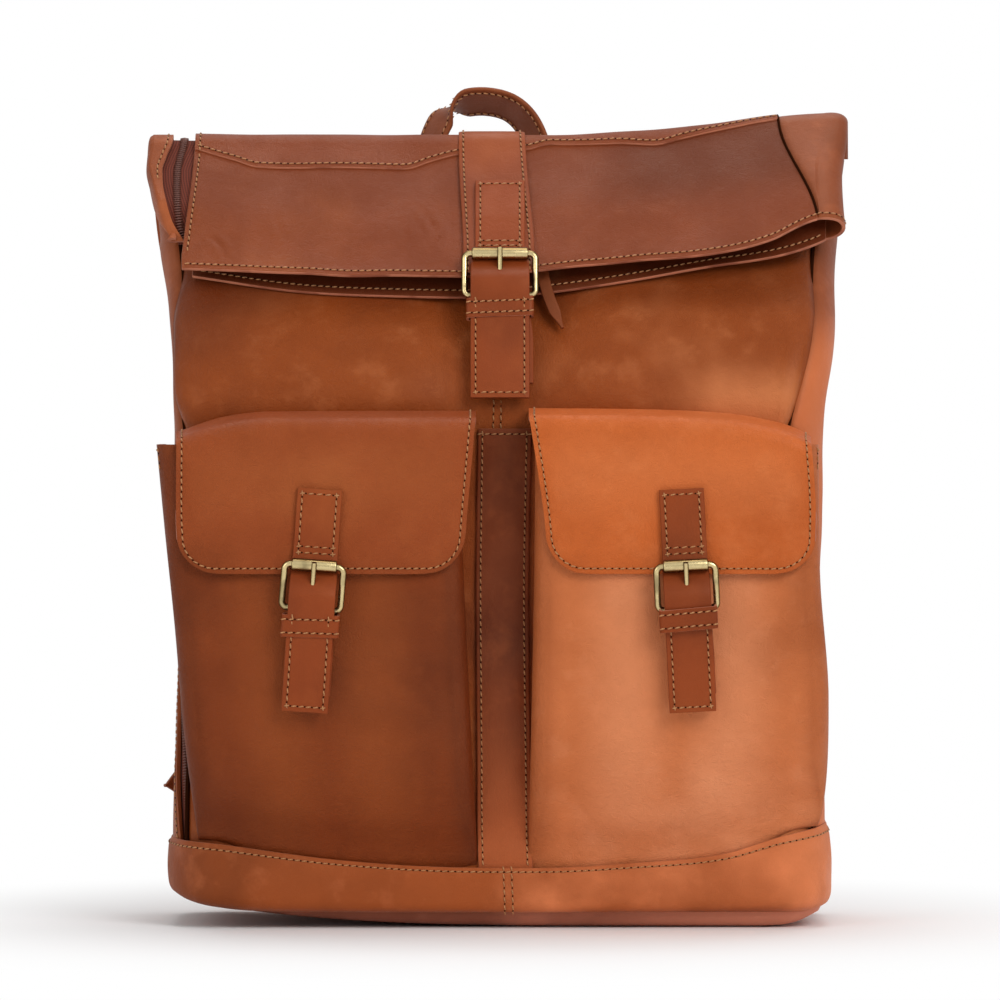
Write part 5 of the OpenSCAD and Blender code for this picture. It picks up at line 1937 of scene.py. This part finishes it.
    def build_right_end(self) -> None:
        """Right gusset of the tube: from the flap's seam round the end to the inner wall."""
        body = ("bag", "roll_top")
        start, end = self.bend_ends()
        flat, arc = np.linspace(0, 1, 20, endpoint=False), np.linspace(0, 1, 30)
        grid = []
        for share in np.linspace(0, 1, 70):
            w_out = -30.0 + (float(self.outer_len(np.array(176.0))) + 30.0) * share
            w_in = -30.0 + (float(self.inner_len(np.array(180.0))) + 30.0) * share
            left = float(self.right_seam(w_out))
            xe = float(self.right_end(w_out))
            depth = 14.0 if w_out > 0 else 5.0 + 9.0 * float(smooth((w_out + 30) / 30))
            x = left + (xe - depth - left) * flat
            d = seam_dip(x - left, 1.3, 2.2)
            row = self.outer(x, np.full_like(x, w_out), 0.0)
            row[:, 1] -= d
            w_mix = w_out + (w_in - w_out) * smooth(arc)
            lx, ln = self.loop(arc, w_mix)
            grid.append(np.concatenate([row, self.at(lx, ln, w_mix)]))
        end_grid = np.array(grid)[::-1]
        obj = hide("roll_right_end_leather", end_grid, Shade.SIDE, np.full(end_grid.shape[:2], -0.35), 2.0)
        bridge(obj, body, start, end, "tan_leather", "roll_right_gusset")
        # Painted shade: a dark strip in the seam between the flap and the right end, for the shade of the seam
        # valley.
        w = np.linspace(-28, float(self.outer_len(np.array(172.0))) - 3, 90)
        spine = self.outer(self.right_seam(w) + 0.3, w, 0.1)
        way = unit(np.gradient(spine, axis=0))
        side = unit(np.cross(way, self.outer(self.right_seam(w), w, 1.0)
                             - self.outer(self.right_seam(w), w, 0.0)))
        seam_shade_piece = Ribbon(spine, side, unit(np.cross(side, way))).mesh("painted_roll_seam_shade", 1.3, 1.3, 0.6, 0.2)
        bridge(dress(seam_shade_piece, RECESS_SHADE), body, start, end, "strap_leather")
        arc = np.linspace(0, 1, 24)
        w = float(self.outer_len(np.array(176.0))) - 3.0 + (float(self.inner_len(np.array(180.0)))
                                                            - float(self.outer_len(np.array(176.0)))) * smooth(arc)
        lx, ln = self.loop(arc, w)
        p = self.at(lx, ln, w)
        middle = self.loop(np.full_like(arc, 0.5), w)[0]
        out = unit(p - self.at(middle - 12, np.full_like(w, 9.0), w))
        settle(sewn("roll_right_end_stitches", [(p + out * 0.3, out)]), "roll_top", "strap_leather")

    def sink(self, w: Array) -> Array:
        """How far the left gusset and its zip drop under the flap towards their low end."""
        return 9.0 * smooth((w - 40) / 24)

    def build_left_end(self) -> None:
        """Left gusset of the tube with the zip beside it."""
        body = ("bag", "roll_top")
        start, end = self.bend_ends()
        grid = []
        flat, arc = np.linspace(0, 1, 16), np.linspace(0, 1, 22)[1:]
        for share in np.linspace(0, 1, 70):
            w_out = -30.0 + (62.0 + 30.0) * share
            right, xe = float(self.left_strip(w_out)), float(self.left_end(w_out))
            n0 = float(self.swell(np.array(-170.0), np.array(w_out)))
            a = np.pi * arc
            turn_x = -(xe - 3.0) - 3.0 * np.sin(a) ** 0.7
            sunk = float(self.sink(np.array(w_out)))
            turn_n = n0 / 2 + (n0 / 2 - sunk) * np.cos(a)
            x = right + (-(xe - 3.0) - right) * flat
            row = self.outer(x, np.full_like(x, w_out), 0.4 - sunk)
            grid.append(np.concatenate([row, self.at(turn_x, turn_n, np.full_like(arc, w_out))])[::-1])
        end_grid = np.array(grid)[::-1]
        obj = hide("roll_left_end_leather", end_grid, Shade.SIDE, np.full(end_grid.shape[:2], -0.2), 2.0)
        bridge(obj, body, start, end, "tan_leather", "roll_left_gusset")
        w = np.linspace(-30, 62, 70)
        t = np.linspace(0, 1, 8)
        left, right = np.maximum(self.left_strip(w) - 3.0, -self.left_end(w) + 4.0), self.left_edge(w) + 6.0
        x = left[:, None] * (1 - t) + right[:, None] * t
        tape = grid_mesh("roll_zip_tape",
                         self.outer(x, w[:, None] + 0 * x, -2.6 - self.sink(w)[:, None])[::-1])
        bridge(cloth(tape, TAPE), body, start, end, "zip_tape", "roll_side_zip")
        w = np.linspace(-30, 60, 80)
        mid = 0.5 * (self.left_strip(w) + self.left_edge(w))
        p, q = self.outer(mid, w, -1.9 - self.sink(w)), self.outer(mid, w, 3.0)
        bridge(TOOTH.along("roll_zip_coil", [(p, unit(q - p))], COIL), body, start, end, "zip_tape")
        w = np.linspace(-29, 24, 40)
        p, q = self.outer(self.left_strip(w) - 2.6, w, 0.6), self.outer(self.left_strip(w) - 2.6, w, 3.0)
        bridge(sewn("roll_left_end_stitches", [(p, unit(q - p))]), body, start, end, "strap_leather")

    def build_inner(self) -> None:
        """Inner wall: under the flap, with its rim and stitches showing below it."""
        t, q = spread(0, 1, 150, 0.6), spread(0, 1, 40, 0.4)
        x = -166.5 + (176.0 + 166.5) * t
        reach = self.inner_len(x)
        w = reach[None, :] * q[:, None] + 1.0
        xx = np.broadcast_to(x[None, :], w.shape)
        n = 2.2 + 0.7 * self.wave(np.stack([xx, 0 * xx + 60, w], axis=-1)) * smooth(w / 40)
        n = n + 1.5 * smooth((w - 70) / 20) + 4.0 * smooth((xx - 120) / 50) * smooth(w / 60)
        obj = hide("roll_inner_leather", self.at(xx, n, w)[::-1], Shade.ROLL, np.full(w.shape, -0.85))
        settle(obj, "roll_top", "tan_leather", "roll_inner_panel")
        surface = lambda a, b: self.at(a, 2.6 + 1.5 * smooth((-b - 70) / 20) + 4.0 * smooth((a - 120) / 50)
                                       * smooth(-b / 60)
                                       + 0.7 * self.wave(np.stack([a, 0 * a + 60, -b], axis=-1))
                                       * smooth(-b / 40), -b)
        x = np.linspace(-164, 172, 170)
        rows = [row_on(surface, np.column_stack([x, -(self.inner_len(x) - 3.0)]))]
        settle(sewn("roll_inner_stitches", rows), "roll_top", "strap_leather")

    def build_zip(self) -> None:
        """Mouth zip inside the tube, and its leather pull."""
        x = np.linspace(-158, 160, 120)
        w = np.minimum(self.outer_len(x), self.inner_len(x)) - 16.0
        depth = self.swell(x, w)
        bands = []
        for near, far in ((depth - 2.6, depth / 2 + 3.2), (depth / 2 - 3.2, 4.8 + 0 * x)):
            t = np.linspace(0, 1, 6)[:, None]
            n = near * (1 - t) + far * t
            band = grid_mesh("tape", self.at(np.broadcast_to(x, n.shape), n,
                                             np.broadcast_to(w, n.shape) - 3.0 * (1 - abs(2 * t - 1))))
            bands.append(dress(band, TAPE))
        tape = thicken(joined("mouth_zip_tape", bands), 0.6, None, 0.0)
        settle(applied(tape), "roll_top", "zip_tape", "mouth_zip")
        p, q = self.at(x, depth / 2, w - 0.5), self.at(x, depth / 2, w + 5.0)
        settle(TOOTH.along("mouth_zip_coil", [(p, unit(q - p))], COIL), "roll_top", "zip_tape")

    def build(self) -> None:
        """The whole mouth."""
        self.build_outer()
        self.build_right_end()
        self.build_left_end()
        self.build_inner()
        self.build_zip()


MOUTH = Mouth()


# ---- buckled straps


@dataclass
class BuckledStrap:
    """Patch, billet, buckle leather and keeper of one buckle."""

    name: str
    carrier: str
    origin: tuple[float, float, float]
    lean: float
    swing: float
    width: float
    tail: float
    patch: Sequence[tuple[float, float]]
    patch_width: float
    keeper_w: float
    thick: float = 2.8
    keeper_h: float = 13.0
    keeper_mid: float = -33.8
    nose: float = 1.0
    keeper_face: float = -6.1

    def put(self, p: Array) -> Array:
        """Points from the buckle's own place to the bag's frame."""
        return turned(turned(np.asarray(p, float), "x", self.lean), "y", self.swing) + np.array(self.origin)

    def unput(self, p: Array) -> Array:
        """Points from the bag's frame to the buckle's own place."""
        return turned(turned(np.asarray(p, float) - np.array(self.origin), "y", -self.swing), "x",
                      -self.lean)

    def ribbon(self) -> Ribbon:
        """The patch and billet as one strap that runs under the roller and over the bar."""
        ox, oy, oz = self.origin
        start = self.unput(np.array([[ox, y, z] for y, z in self.patch]))[:, 1:]
        way = [(4.7, -0.4), (3.7, -4), (-1.6, -9.5), (-5.63, -14.5), (-5.83, -19), (-5.33, -24),
               (-4.1, -30.5),
               (-3.3, -37.5), (-3.0, -0.5 * (37.5 + self.tail)), (-3.3, -self.tail)]
        return Ribbon.in_plane([tuple(p) for p in start] + way, 1.6, 2).moved(self.put)

    def build(self) -> None:
        """All the leather of this buckle."""
        strap = self.name + "_strap"
        whole = self.ribbon()
        local = self.unput(whole.points)
        over = smooth((-local[:, 2] + 6) / 12)
        width = self.patch_width + (self.width - self.patch_width) * over
        leather = whole.mesh(self.name + "_strap_leather", width, self.thick)
        dress(leather, MATERIALS[Shade.STRAP])
        start, end = self.put(np.array([0.0, 4.0, 7.0])), self.put(np.array([0.0, 1.0, -7.0]))
        bridge(leather, (self.carrier, strap), start, end, "strap_leather", self.name + "_billet",
               self.name + "_billet_patch")
        lift = self.thick / 2 + 0.35
        inset = 2.8
        half = self.patch_width / 2 - inset
        run = run_of(whole.points)
        total = run[-1]
        turn_at = float(np.interp(3.0, -local[:, 2], run))
        patch_end = turn_at - 9.0
        rows = [whole.line(s * half, lift, inset, total - patch_end) for s in (-1, 1)]
        rows += [whole.bar(inset, half, lift), whole.bar(patch_end, half, lift),
                 whole.bar(patch_end - 3.4, half, lift)]
        half = self.width / 2 - inset
        low = float(np.interp(27.0, -local[:, 2], run))
        rows += [whole.line(s * half, lift, low, inset) for s in (-1, 1)] + [whole.bar(-inset, half, lift)]
        stitches = sewn(self.name + "_strap_stitches", rows)
        bridge(stitches, (self.carrier, strap), start, end, "strap_leather")
        back = Ribbon.in_plane([(2.2, -22.0), (0.6, -27.0), (0.2, -34.0), (0.1, -0.6 * self.tail),
                                (0.4, -self.tail + 9)], 1.6, 1)
        back.points[:, 0] += self.nose * smooth((-back.points[:, 2] - 24) / 26)
        piece = back.moved(self.put).mesh(self.name + "_buckle_leather", self.width - 1.0, 3.0)
        dress(piece, MATERIALS[Shade.STRAP])
        settle(piece, strap, "strap_leather", self.name + "_buckle_strap")
        self.build_keeper()

    def build_keeper(self) -> None:
        """Leather loop round the billet, with two rows of stitches."""
        half, mid = self.keeper_w / 2, self.keeper_mid
        y0, y1, wall = self.keeper_face, 2.5, 1.6
        corners = [(half, y0), (half, y1), (-half, y1), (-half, y0)]
        loop = []
        for (cx, cy), sx, sy in zip(corners, (-1, -1, 1, 1), (1, -1, -1, 1)):
            r = 1.6
            for k in range(6):
                base = {(-1, 1): -90, (-1, -1): 0, (1, -1): 90, (1, 1): 180}[(sx, sy)]
                a = math.radians(base + 18 * k)
                loop.append((cx + sx * r + r * math.cos(a), cy + sy * r + r * math.sin(a)))
        loop_xy = np.array(loop)
        dense = resample(np.vstack([loop_xy, loop_xy[:1]]), 1.5)[:-1]
        zs = np.array([-1.0, -0.86, -0.5, 0.0, 0.5, 0.86, 1.0]) * self.keeper_h / 2
        grid = np.array([[[x, y, mid + z] for x, y in dense] for z in zs])
        tilt = 0.04 * grid[..., 0]
        grid[..., 2] += tilt
        obj = grid_mesh(self.name + "_keeper_leather", self.put(grid), closed=True)
        faced(obj)
        dress(obj, MATERIALS[Shade.STRAP])
        thicken(obj, wall, EDGE, 0.4)
        settle(applied(obj), self.name + "_keeper", "strap_leather", self.name + "_keeper")
        rows = []
        for dz in (-self.keeper_h / 2 + 2.4, self.keeper_h / 2 - 2.4):
            x = np.linspace(-half + 1.2, half - 1.2, 24)
            p = np.column_stack([x, np.full_like(x, y0 - 0.35), mid + dz + 0.04 * x])
            out = np.tile(np.array([0.0, -1.0, 0.0]), (len(x), 1))
            rows.append((self.put(p), self.put(out) - self.put(np.zeros((1, 3)))))
        settle(sewn(self.name + "_keeper_stitches", rows), self.name + "_keeper", "strap_leather")


@dataclass
class ClosingStrap:
    """Broad strip sewn over the flap under the main buckle."""

    left: Profile = curve((-30, -22.5), (5, -22.4), (70, -20.0))
    right: Profile = curve((-30, 13.0), (5, 14.0), (70, 18.6))

    def build(self) -> None:
        """The strip and its stitches."""
        body = ("bag", "roll_top")
        start, end = MOUTH.bend_ends()
        across = spread(0, 1, 24, 0.6)
        low = float(MOUTH.outer_len(np.array(-1.6))) + 0.8
        w = spread(-27.0, low, 90, 0.2)
        share, ww = np.meshgrid(across, w[::-1])
        left, right = self.left(ww), self.right(ww)
        xx = left + (right - left) * share
        edge = np.minimum(xx - left, right - xx)
        off = 3.2 - 0.5 * np.exp(-edge / 1.5)
        grid = MOUTH.at(xx, MOUTH.swell(xx, ww) + off, ww)
        obj = hide("closing_strap_leather", grid, Shade.STRAP, -0.35 + 0.35 * smooth((30 - ww) / 30), 1.9)
        bridge(obj, body, start, end, "strap_leather", "closing_strap")
        surface = MOUTH.face(3.4)
        down = np.linspace(-25, low - 2, 40)
        rows = [row_on(surface, np.column_stack([k, -down]))
                for k in (self.left(down) + 2.6, self.right(down) - 2.6)]
        bridge(sewn("closing_strap_stitches", rows), body, start, end, "strap_leather")


def main_patch() -> list[tuple[float, float]]:
    """Points of the main patch on the closing strap, from its top to the buckle."""
    w = np.linspace(29.5, 56, 12)
    p = MOUTH.outer(np.full_like(w, -1.6), w, 4.9)
    return [(float(q[1]), float(q[2])) for q in p]


def flap_patch(face: float, top: float) -> list[tuple[float, float]]:
    """Points of a pocket strap's patch on its flap."""
    return [(face - 1.7, z) for z in np.linspace(top, 206.0, 8)]


# ---- handle, pads and pulls


@dataclass
class CarryHandle:
    """Short handle behind the fold."""

    width: float = 24.0
    thick: float = 2.6

    def build(self) -> None:
        """The handle, bent in an arch and seen edge on."""
        low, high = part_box("carry_handle")
        y0, y1, top = low[1] / MM, high[1] / MM, high[2] / MM
        foot_y, crest_y, crest = y0 + 12.5, y1 - 14.0, top - 7.2
        spine = rounded([(-41, foot_y, 388), (-41, foot_y + 1, 410), (-40, crest_y - 5, 426),
                         (-37, crest_y - 3, 438),
                         (-31, crest_y - 1, crest - 7.5), (-23, crest_y, crest - 2), (-10, crest_y, crest),
                         (4, crest_y, crest - 2.6), (13, crest_y - 1, crest - 9.5), (19, crest_y - 3, 437),
                         (22.5, crest_y - 5, 424), (24, foot_y + 1, 410), (25, foot_y, 388)], 2.0, 2)
        way = unit(np.gradient(spine, axis=0))
        depth = np.tile(np.array([0.0, 1.0, 0.0]), (len(spine), 1))
        out = unit(np.cross(way, depth))
        share = np.linspace(0, 1, len(spine))
        twist = (-0.62 + 1.22 * smooth((share - 0.335) / 0.12))[:, None]
        depth, out = depth * np.cos(twist) - out * np.sin(twist), out * np.cos(twist) + depth * np.sin(twist)
        ribbon = Ribbon(spine, depth, out)
        handle = ribbon.mesh("handle_leather", self.width, self.thick, 0.4, 1.0)
        dress(handle, MATERIALS[Shade.HANDLE])
        settle(handle, "handle", "tan_leather", "carry_handle")
        half = self.width / 2 - 2.8
        rows = [ribbon.line(s * half, k * (self.thick / 2 + 0.3), 10, 10) for s in (-1, 1) for k in (-1, 1)]
        settle(sewn("handle_stitches", rows), "handle", "strap_leather")


@dataclass
class Shoulder:
    """Shoulder pad, webbing and tab on one side of the back."""

    side: Side
    pad_width: float = 56.0
    pad_thick: float = 11.0
    web: float = 25.0
    share: float = 0.6

    def build_tail(self) -> None:
        """Loose end of the strap, folded out past the side of the bag."""
        spine = rounded([(-158, 69, 76), (-172, 69, 74), (-181, 67, 72.5), (-189, 62, 71)], 1.2, 1)
        way = unit(np.gradient(spine, axis=0))
        wide = np.tile(np.array([-0.1, 0.0, 0.99]), (len(spine), 1))
        wide = unit(wide - way * (wide * way).sum(axis=1, keepdims=True))
        point = np.clip((spine[:, 0] + 189.0) / 11.0, 0.08, 1.0)
        tail = Ribbon(spine, wide, unit(np.cross(way, wide))).mesh("left_tail_leather",
                                                                   (self.web - 3) * point, 2.6)
        dress(tail, MATERIALS[Shade.HANDLE])
        settle(tail, "bag", "strap_leather")

    def frames(self, t: Array) -> Ribbon:
        """Middle line of the strap, from the yoke (0) to the tab (1)."""
        sign = -1.0 if self.side is Side.LEFT else 1.0
        low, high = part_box(self.side.value + "_shoulder_pad")
        tab_low, tab_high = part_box(self.side.value + "_lower_strap")
        top = np.array([48.0, low[1] / MM + 4.6, high[2] / MM - 1.0])
        tab = np.array([161.0, 0.0, tab_low[2] / MM + 1.0])
        tab[1] = LAYOUT.body_half_depth + 5.5
        ends = top + (tab - top) * t[:, None]
        bow = np.column_stack([-10 * np.sin(math.pi * t), 32 * np.sin(math.pi * np.minimum(t / 0.93, 1)),
                               0 * t])
        p = ends + bow
        p[:, 0] *= sign
        way = unit(np.gradient(p, axis=0))
        out = np.tile(np.array([0.0, 1.0, 0.0]), (len(t), 1))
        wide = unit(np.cross(way, out))
        return Ribbon(p, wide, unit(np.cross(wide, way)))

    def build(self) -> None:
        """Pad, strap and stitches."""
        t = np.linspace(0.0, self.share, 70)
        ribbon = self.frames(t)
        q = t / self.share
        width = self.pad_width * (0.55 + 0.45 * smooth(q / 0.25)) * (1 - 0.3 * smooth((q - 0.7) / 0.3))
        count = 40
        a = np.linspace(0, 2 * math.pi, count, endpoint=False)
        ca, sa = np.cos(a), np.sin(a)
        thick = self.pad_thick * (0.7 + 0.3 * np.sin(math.pi * q))
        cols = []
        for c, s in zip(ca, sa):
            across = np.sign(c) * abs(c) ** 0.55 * width / 2
            height = np.sign(s) * abs(s) ** 0.75 * thick / 2
            channel = 1.3 * np.exp(-(((np.abs(across) - width / 2 + 7.5) / 2.0) ** 2))
            height = height - np.sign(s) * np.minimum(channel, abs(height))
            cols.append(ribbon.points + ribbon.wide * across[:, None] + ribbon.out * height[:, None])
        grid = np.stack(cols, axis=1)
        ends = [np.repeat(ribbon.points[i][None, None], count, axis=1) for i in (0, -1)]
        pad = grid_mesh(self.side.value + "_pad_leather", np.concatenate([ends[0], grid, ends[1]]),
                        closed=True)
        welded(pad)
        faced(pad)
        dress(pad, MATERIALS[Shade.BACK])
        settle(pad, "bag", "tan_leather", self.side.value + "_shoulder_pad")
        rows = []
        for s in (-1, 1):
            across = (width / 2 - 7.5) * s
            p = ribbon.points + ribbon.wide * across[:, None] + ribbon.out * (thick / 2 * 0.86
                                                                              - 0.5)[:, None]
            rows.append((p[3:-3], ribbon.out[3:-3]))
        settle(sewn(self.side.value + "_pad_stitches", rows), "bag", "strap_leather")
        low = self.frames(np.linspace(self.share - 0.03, 0.985, 60))
        strap = low.mesh(self.side.value + "_lower_strap_leather", self.web, 2.8)
        dress(strap, MATERIALS[Shade.STRAP])
        settle(strap, "bag", "strap_leather", self.side.value + "_lower_strap")
        if self.side is Side.LEFT:
            self.build_tail()
        rows = [low.line(s * (self.web / 2 - 2.8), 1.7, 8, 2) for s in (-1, 1)]
        settle(sewn(self.side.value + "_lower_strap_stitches", rows), "bag", "strap_leather")


@dataclass
class Pull:
    """Leather pull of a zip slider."""

    node: str
    body: str
    drift: float = 0.0
    width: float = 6.4

    def build(self) -> None:
        """A narrow tab with a pointed end."""
        low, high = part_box(self.node)
        low, high = np.array(low) / MM, np.array(high) / MM
        mid = (low + high) / 2
        side = self.node.startswith("side")
        if side:
            ends = [(low[0] + 1.4, mid[1], high[2]), (low[0] + 1.2, mid[1], low[2])]
            wide = np.array([0.0, 1.0, 0.0])
        else:
            ends = [(mid[0] - self.drift, high[1] - 3.5, high[2]),
                    (mid[0] - 0.4 * self.drift, mid[1] - 2.5, mid[2]),
                    (mid[0] + self.drift, low[1] - 0.5, low[2] + 1)]
            wide = np.array([1.0, 0.0, 0.0])
        spine = rounded(ends, 1.5, 2)
        way = unit(np.gradient(spine, axis=0))
        across = np.tile(wide, (len(spine), 1))
        across = unit(across - way * (across * way).sum(axis=1, keepdims=True))
        ribbon = Ribbon(spine, across, unit(np.cross(across, way)))
        t = np.linspace(0, 1, len(spine))
        width = self.width * (1 - 0.75 * smooth((t - 0.72) / 0.28))
        tab = ribbon.mesh(self.node + "_leather", width, 2.0, 0.3, 0.5)
        dress(tab, MATERIALS[Shade.HANDLE])
        settle(tab, self.body, "strap_leather", self.node)


# ---- stage


@dataclass
class Studio:
    """Floor, lamps and camera."""

    lens: float = 200.0
    sensor: float = 36.0
    far: float = 3.07
    height: float = 0.232
    floor_near: float = 0.15
    floor_far: float = 0.42

    def build_floor(self) -> None:
        """A wide pale floor that stays nearly white behind the bag but takes its shadow."""
        mesh = bpy.data.meshes.new("floor")
        mesh.from_pydata([(-9, -9, 0), (9, -9, 0), (9, 9, 0), (-9, 9, 0)], [], [(0, 1, 2, 3)])
        floor = new_piece("floor", mesh)
        mat = bpy.data.materials.new("studio floor")
        mat.use_nodes = True
        mat.node_tree.nodes.clear()
        n = Nodes(mat.node_tree)
        out = n.add("ShaderNodeOutputMaterial")
        shade = n.add("ShaderNodeBsdfDiffuse")
        shade.inputs["Color"].default_value = (0.95, 0.95, 0.955, 1.0)
        where = n.add("ShaderNodeTexCoord").outputs["Object"]
        reach = n.add("ShaderNodeVectorMath", operation="LENGTH")
        n.link(where, reach.inputs[0])
        far = n.ramp(reach.outputs["Value"], self.floor_near, self.floor_far)
        white = n.add("ShaderNodeEmission")
        white.inputs["Color"].default_value = (1.0, 1.0, 1.0, 1.0)
        seen = n.add("ShaderNodeLightPath")
        mix = n.add("ShaderNodeMixShader")
        n.link(n.math("MULTIPLY", far, seen.outputs["Is Camera Ray"]), mix.inputs[0])
        n.link(shade.outputs[0], mix.inputs[1])
        n.link(white.outputs[0], mix.inputs[2])
        n.link(mix.outputs[0], out.inputs["Surface"])
        dress(floor, mat)

    def build_world(self) -> None:
        """Soft pale light from all round, and a white background."""
        world = bpy.data.worlds.new("studio")
        bpy.context.scene.world = world
        world.use_nodes = True
        world.node_tree.nodes.clear()
        n = Nodes(world.node_tree)
        out = n.add("ShaderNodeOutputWorld")
        path = n.add("ShaderNodeLightPath")
        lit = n.add("ShaderNodeBackground")
        lit.inputs["Color"].default_value = (1.0, 0.99, 0.98, 1.0)
        lit.inputs["Strength"].default_value = 0.42
        seen = n.add("ShaderNodeBackground")
        seen.inputs["Color"].default_value = (1.0, 1.0, 1.0, 1.0)
        seen.inputs["Strength"].default_value = 1.0
        pick = n.math("MAXIMUM", path.outputs["Is Camera Ray"], path.outputs["Is Transmission Ray"])
        pick = n.math("MAXIMUM", pick, n.math("MULTIPLY", path.outputs["Is Glossy Ray"], 0.5))
        mix = n.add("ShaderNodeMixShader")
        n.link(pick, mix.inputs[0])
        n.link(lit.outputs[0], mix.inputs[1])
        n.link(seen.outputs[0], mix.inputs[2])
        n.link(mix.outputs[0], out.inputs["Surface"])

    def lamp(self, name: str, at: tuple[float, float, float], size: float, power: float) -> None:
        """A square soft lamp that looks at the bag.

        Args:
            name: name of the lamp.
            at: its place in metres.
            size: its side in metres.
            power: in watts.
        """
        data = bpy.data.lights.new(name, "AREA")
        data.shape = "SQUARE"
        data.size = size
        data.energy = power
        obj = new_piece(name, data)
        obj.location = at
        aim = Vector((0.0, 0.0, 0.22)) - Vector(at)
        obj.rotation_euler = aim.to_track_quat("-Z", "Y").to_euler()

    def build_camera(self) -> None:
        """Camera straight in front of the bag, at the middle of its height."""
        data = bpy.data.cameras.new("camera")
        data.lens = self.lens
        data.sensor_width = self.sensor
        data.clip_end = 50.0
        camera = new_piece("camera", data)
        camera.location = (0.0, -self.far, self.height)
        camera.rotation_euler = (math.radians(90), 0.0, 0.0)
        bpy.context.scene.camera = camera

    def build(self) -> None:
        """The whole stage."""
        bpy.context.scene.view_settings.view_transform = "Standard"
        self.build_floor()
        self.build_world()
        self.lamp("key", (1.5, -2.4, 1.9), 1.5, 44.0)
        self.lamp("fill", (-2.0, -2.0, 1.2), 1.8, 15.0)
        self.lamp("top", (0.1, 0.4, 2.4), 1.6, 20.0)
        self.build_camera()


STRAPS = (
    BuckledStrap("main", "roll_top", (0.0, -49.71, 366.0), -12.16, 0.0, 32.0, 81.4, main_patch(), 27.2,
                 36.6,
                 keeper_h=11.0, keeper_mid=-31.0, nose=2.6),
    BuckledStrap("left", "left_flap", (-99.0, -107.0, 197.0), 6.24, 4.0, 25.0, 78.4,
                 flap_patch(-99.7, 238.0), 24.0, 31.0,
                 keeper_h=12.0, keeper_mid=-32.0),
    BuckledStrap("right", "right_flap", (99.0, -107.0, 197.0), 6.24, -3.0, 25.0, 78.4,
                 flap_patch(-99.7, 238.0), 24.0, 31.0,
                 keeper_h=12.0, keeper_mid=-28.0, keeper_face=-9.0),
)


def build_rollers() -> None:
    """Brass rollers of the buckles, with softly rounded ends."""
    for strap in STRAPS:
        node = strap.name + "_buckle_roller"
        low, high = (np.array(corner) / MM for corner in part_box(node))
        middle, half = (low + high) / 2, (high - low)[0] / 2
        local = strap.unput(middle[None])[0]
        length = half / math.cos(math.radians(strap.swing)) - 0.4
        radius = 3.35
        ends = radius - 0.9 * (1 - np.sin(np.linspace(0, math.pi / 2, 6)))
        xs = np.concatenate([[-length], -length + 0.9 * (1 - np.cos(np.linspace(0, math.pi / 2, 6)))])
        profile = np.column_stack([xs, np.concatenate([[2.0], ends])])
        profile = np.vstack([profile, profile[::-1] * (-1, 1)])
        turn = np.linspace(0, 2 * math.pi, 40, endpoint=False)
        grid = np.array([[[x, r * math.cos(a), r * math.sin(a)] for a in turn] for x, r in profile]) + local
        obj = grid_mesh(node + "_brass", strap.put(grid), closed=True)
        faced(obj)
        dress(obj, BRASS)
        settle(obj, strap.name + "_roller", "antique_brass", node)


def finish_metal() -> None:
    """Brass and tab leather for the solids that show as they are."""
    finishes = {
        BRASS: ("main_buckle_frame", "main_buckle_tongue", "left_buckle_frame", "left_buckle_tongue",
                "right_buckle_frame", "right_buckle_tongue", "snap_studs", "mouth_zip_slider",
                "side_zip_slider",
                "left_adjuster", "right_adjuster"),
        MATERIALS[Shade.STRAP]: ("strap_tabs",),
    }
    for material, names in finishes.items():
        for node in names:
            dress(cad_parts[node], material)
            log.info("%s gets %s", node, material.name)


def main() -> None:
    """Builds the bag, part after part."""
    Studio().build()
    Body().build()
    LEFT_POCKET.build()
    RIGHT_POCKET.build()
    MOUTH.build()
    ClosingStrap().build()
    for strap in STRAPS:
        strap.build()
    CarryHandle().build()
    for side in Side:
        Shoulder(side).build()
    Pull("mouth_zip_pull", "mouth_pull", 6.0).build()
    Pull("side_zip_pull", "side_pull").build()
    build_rollers()
    finish_metal()


if __name__ == "__main__":
    main()
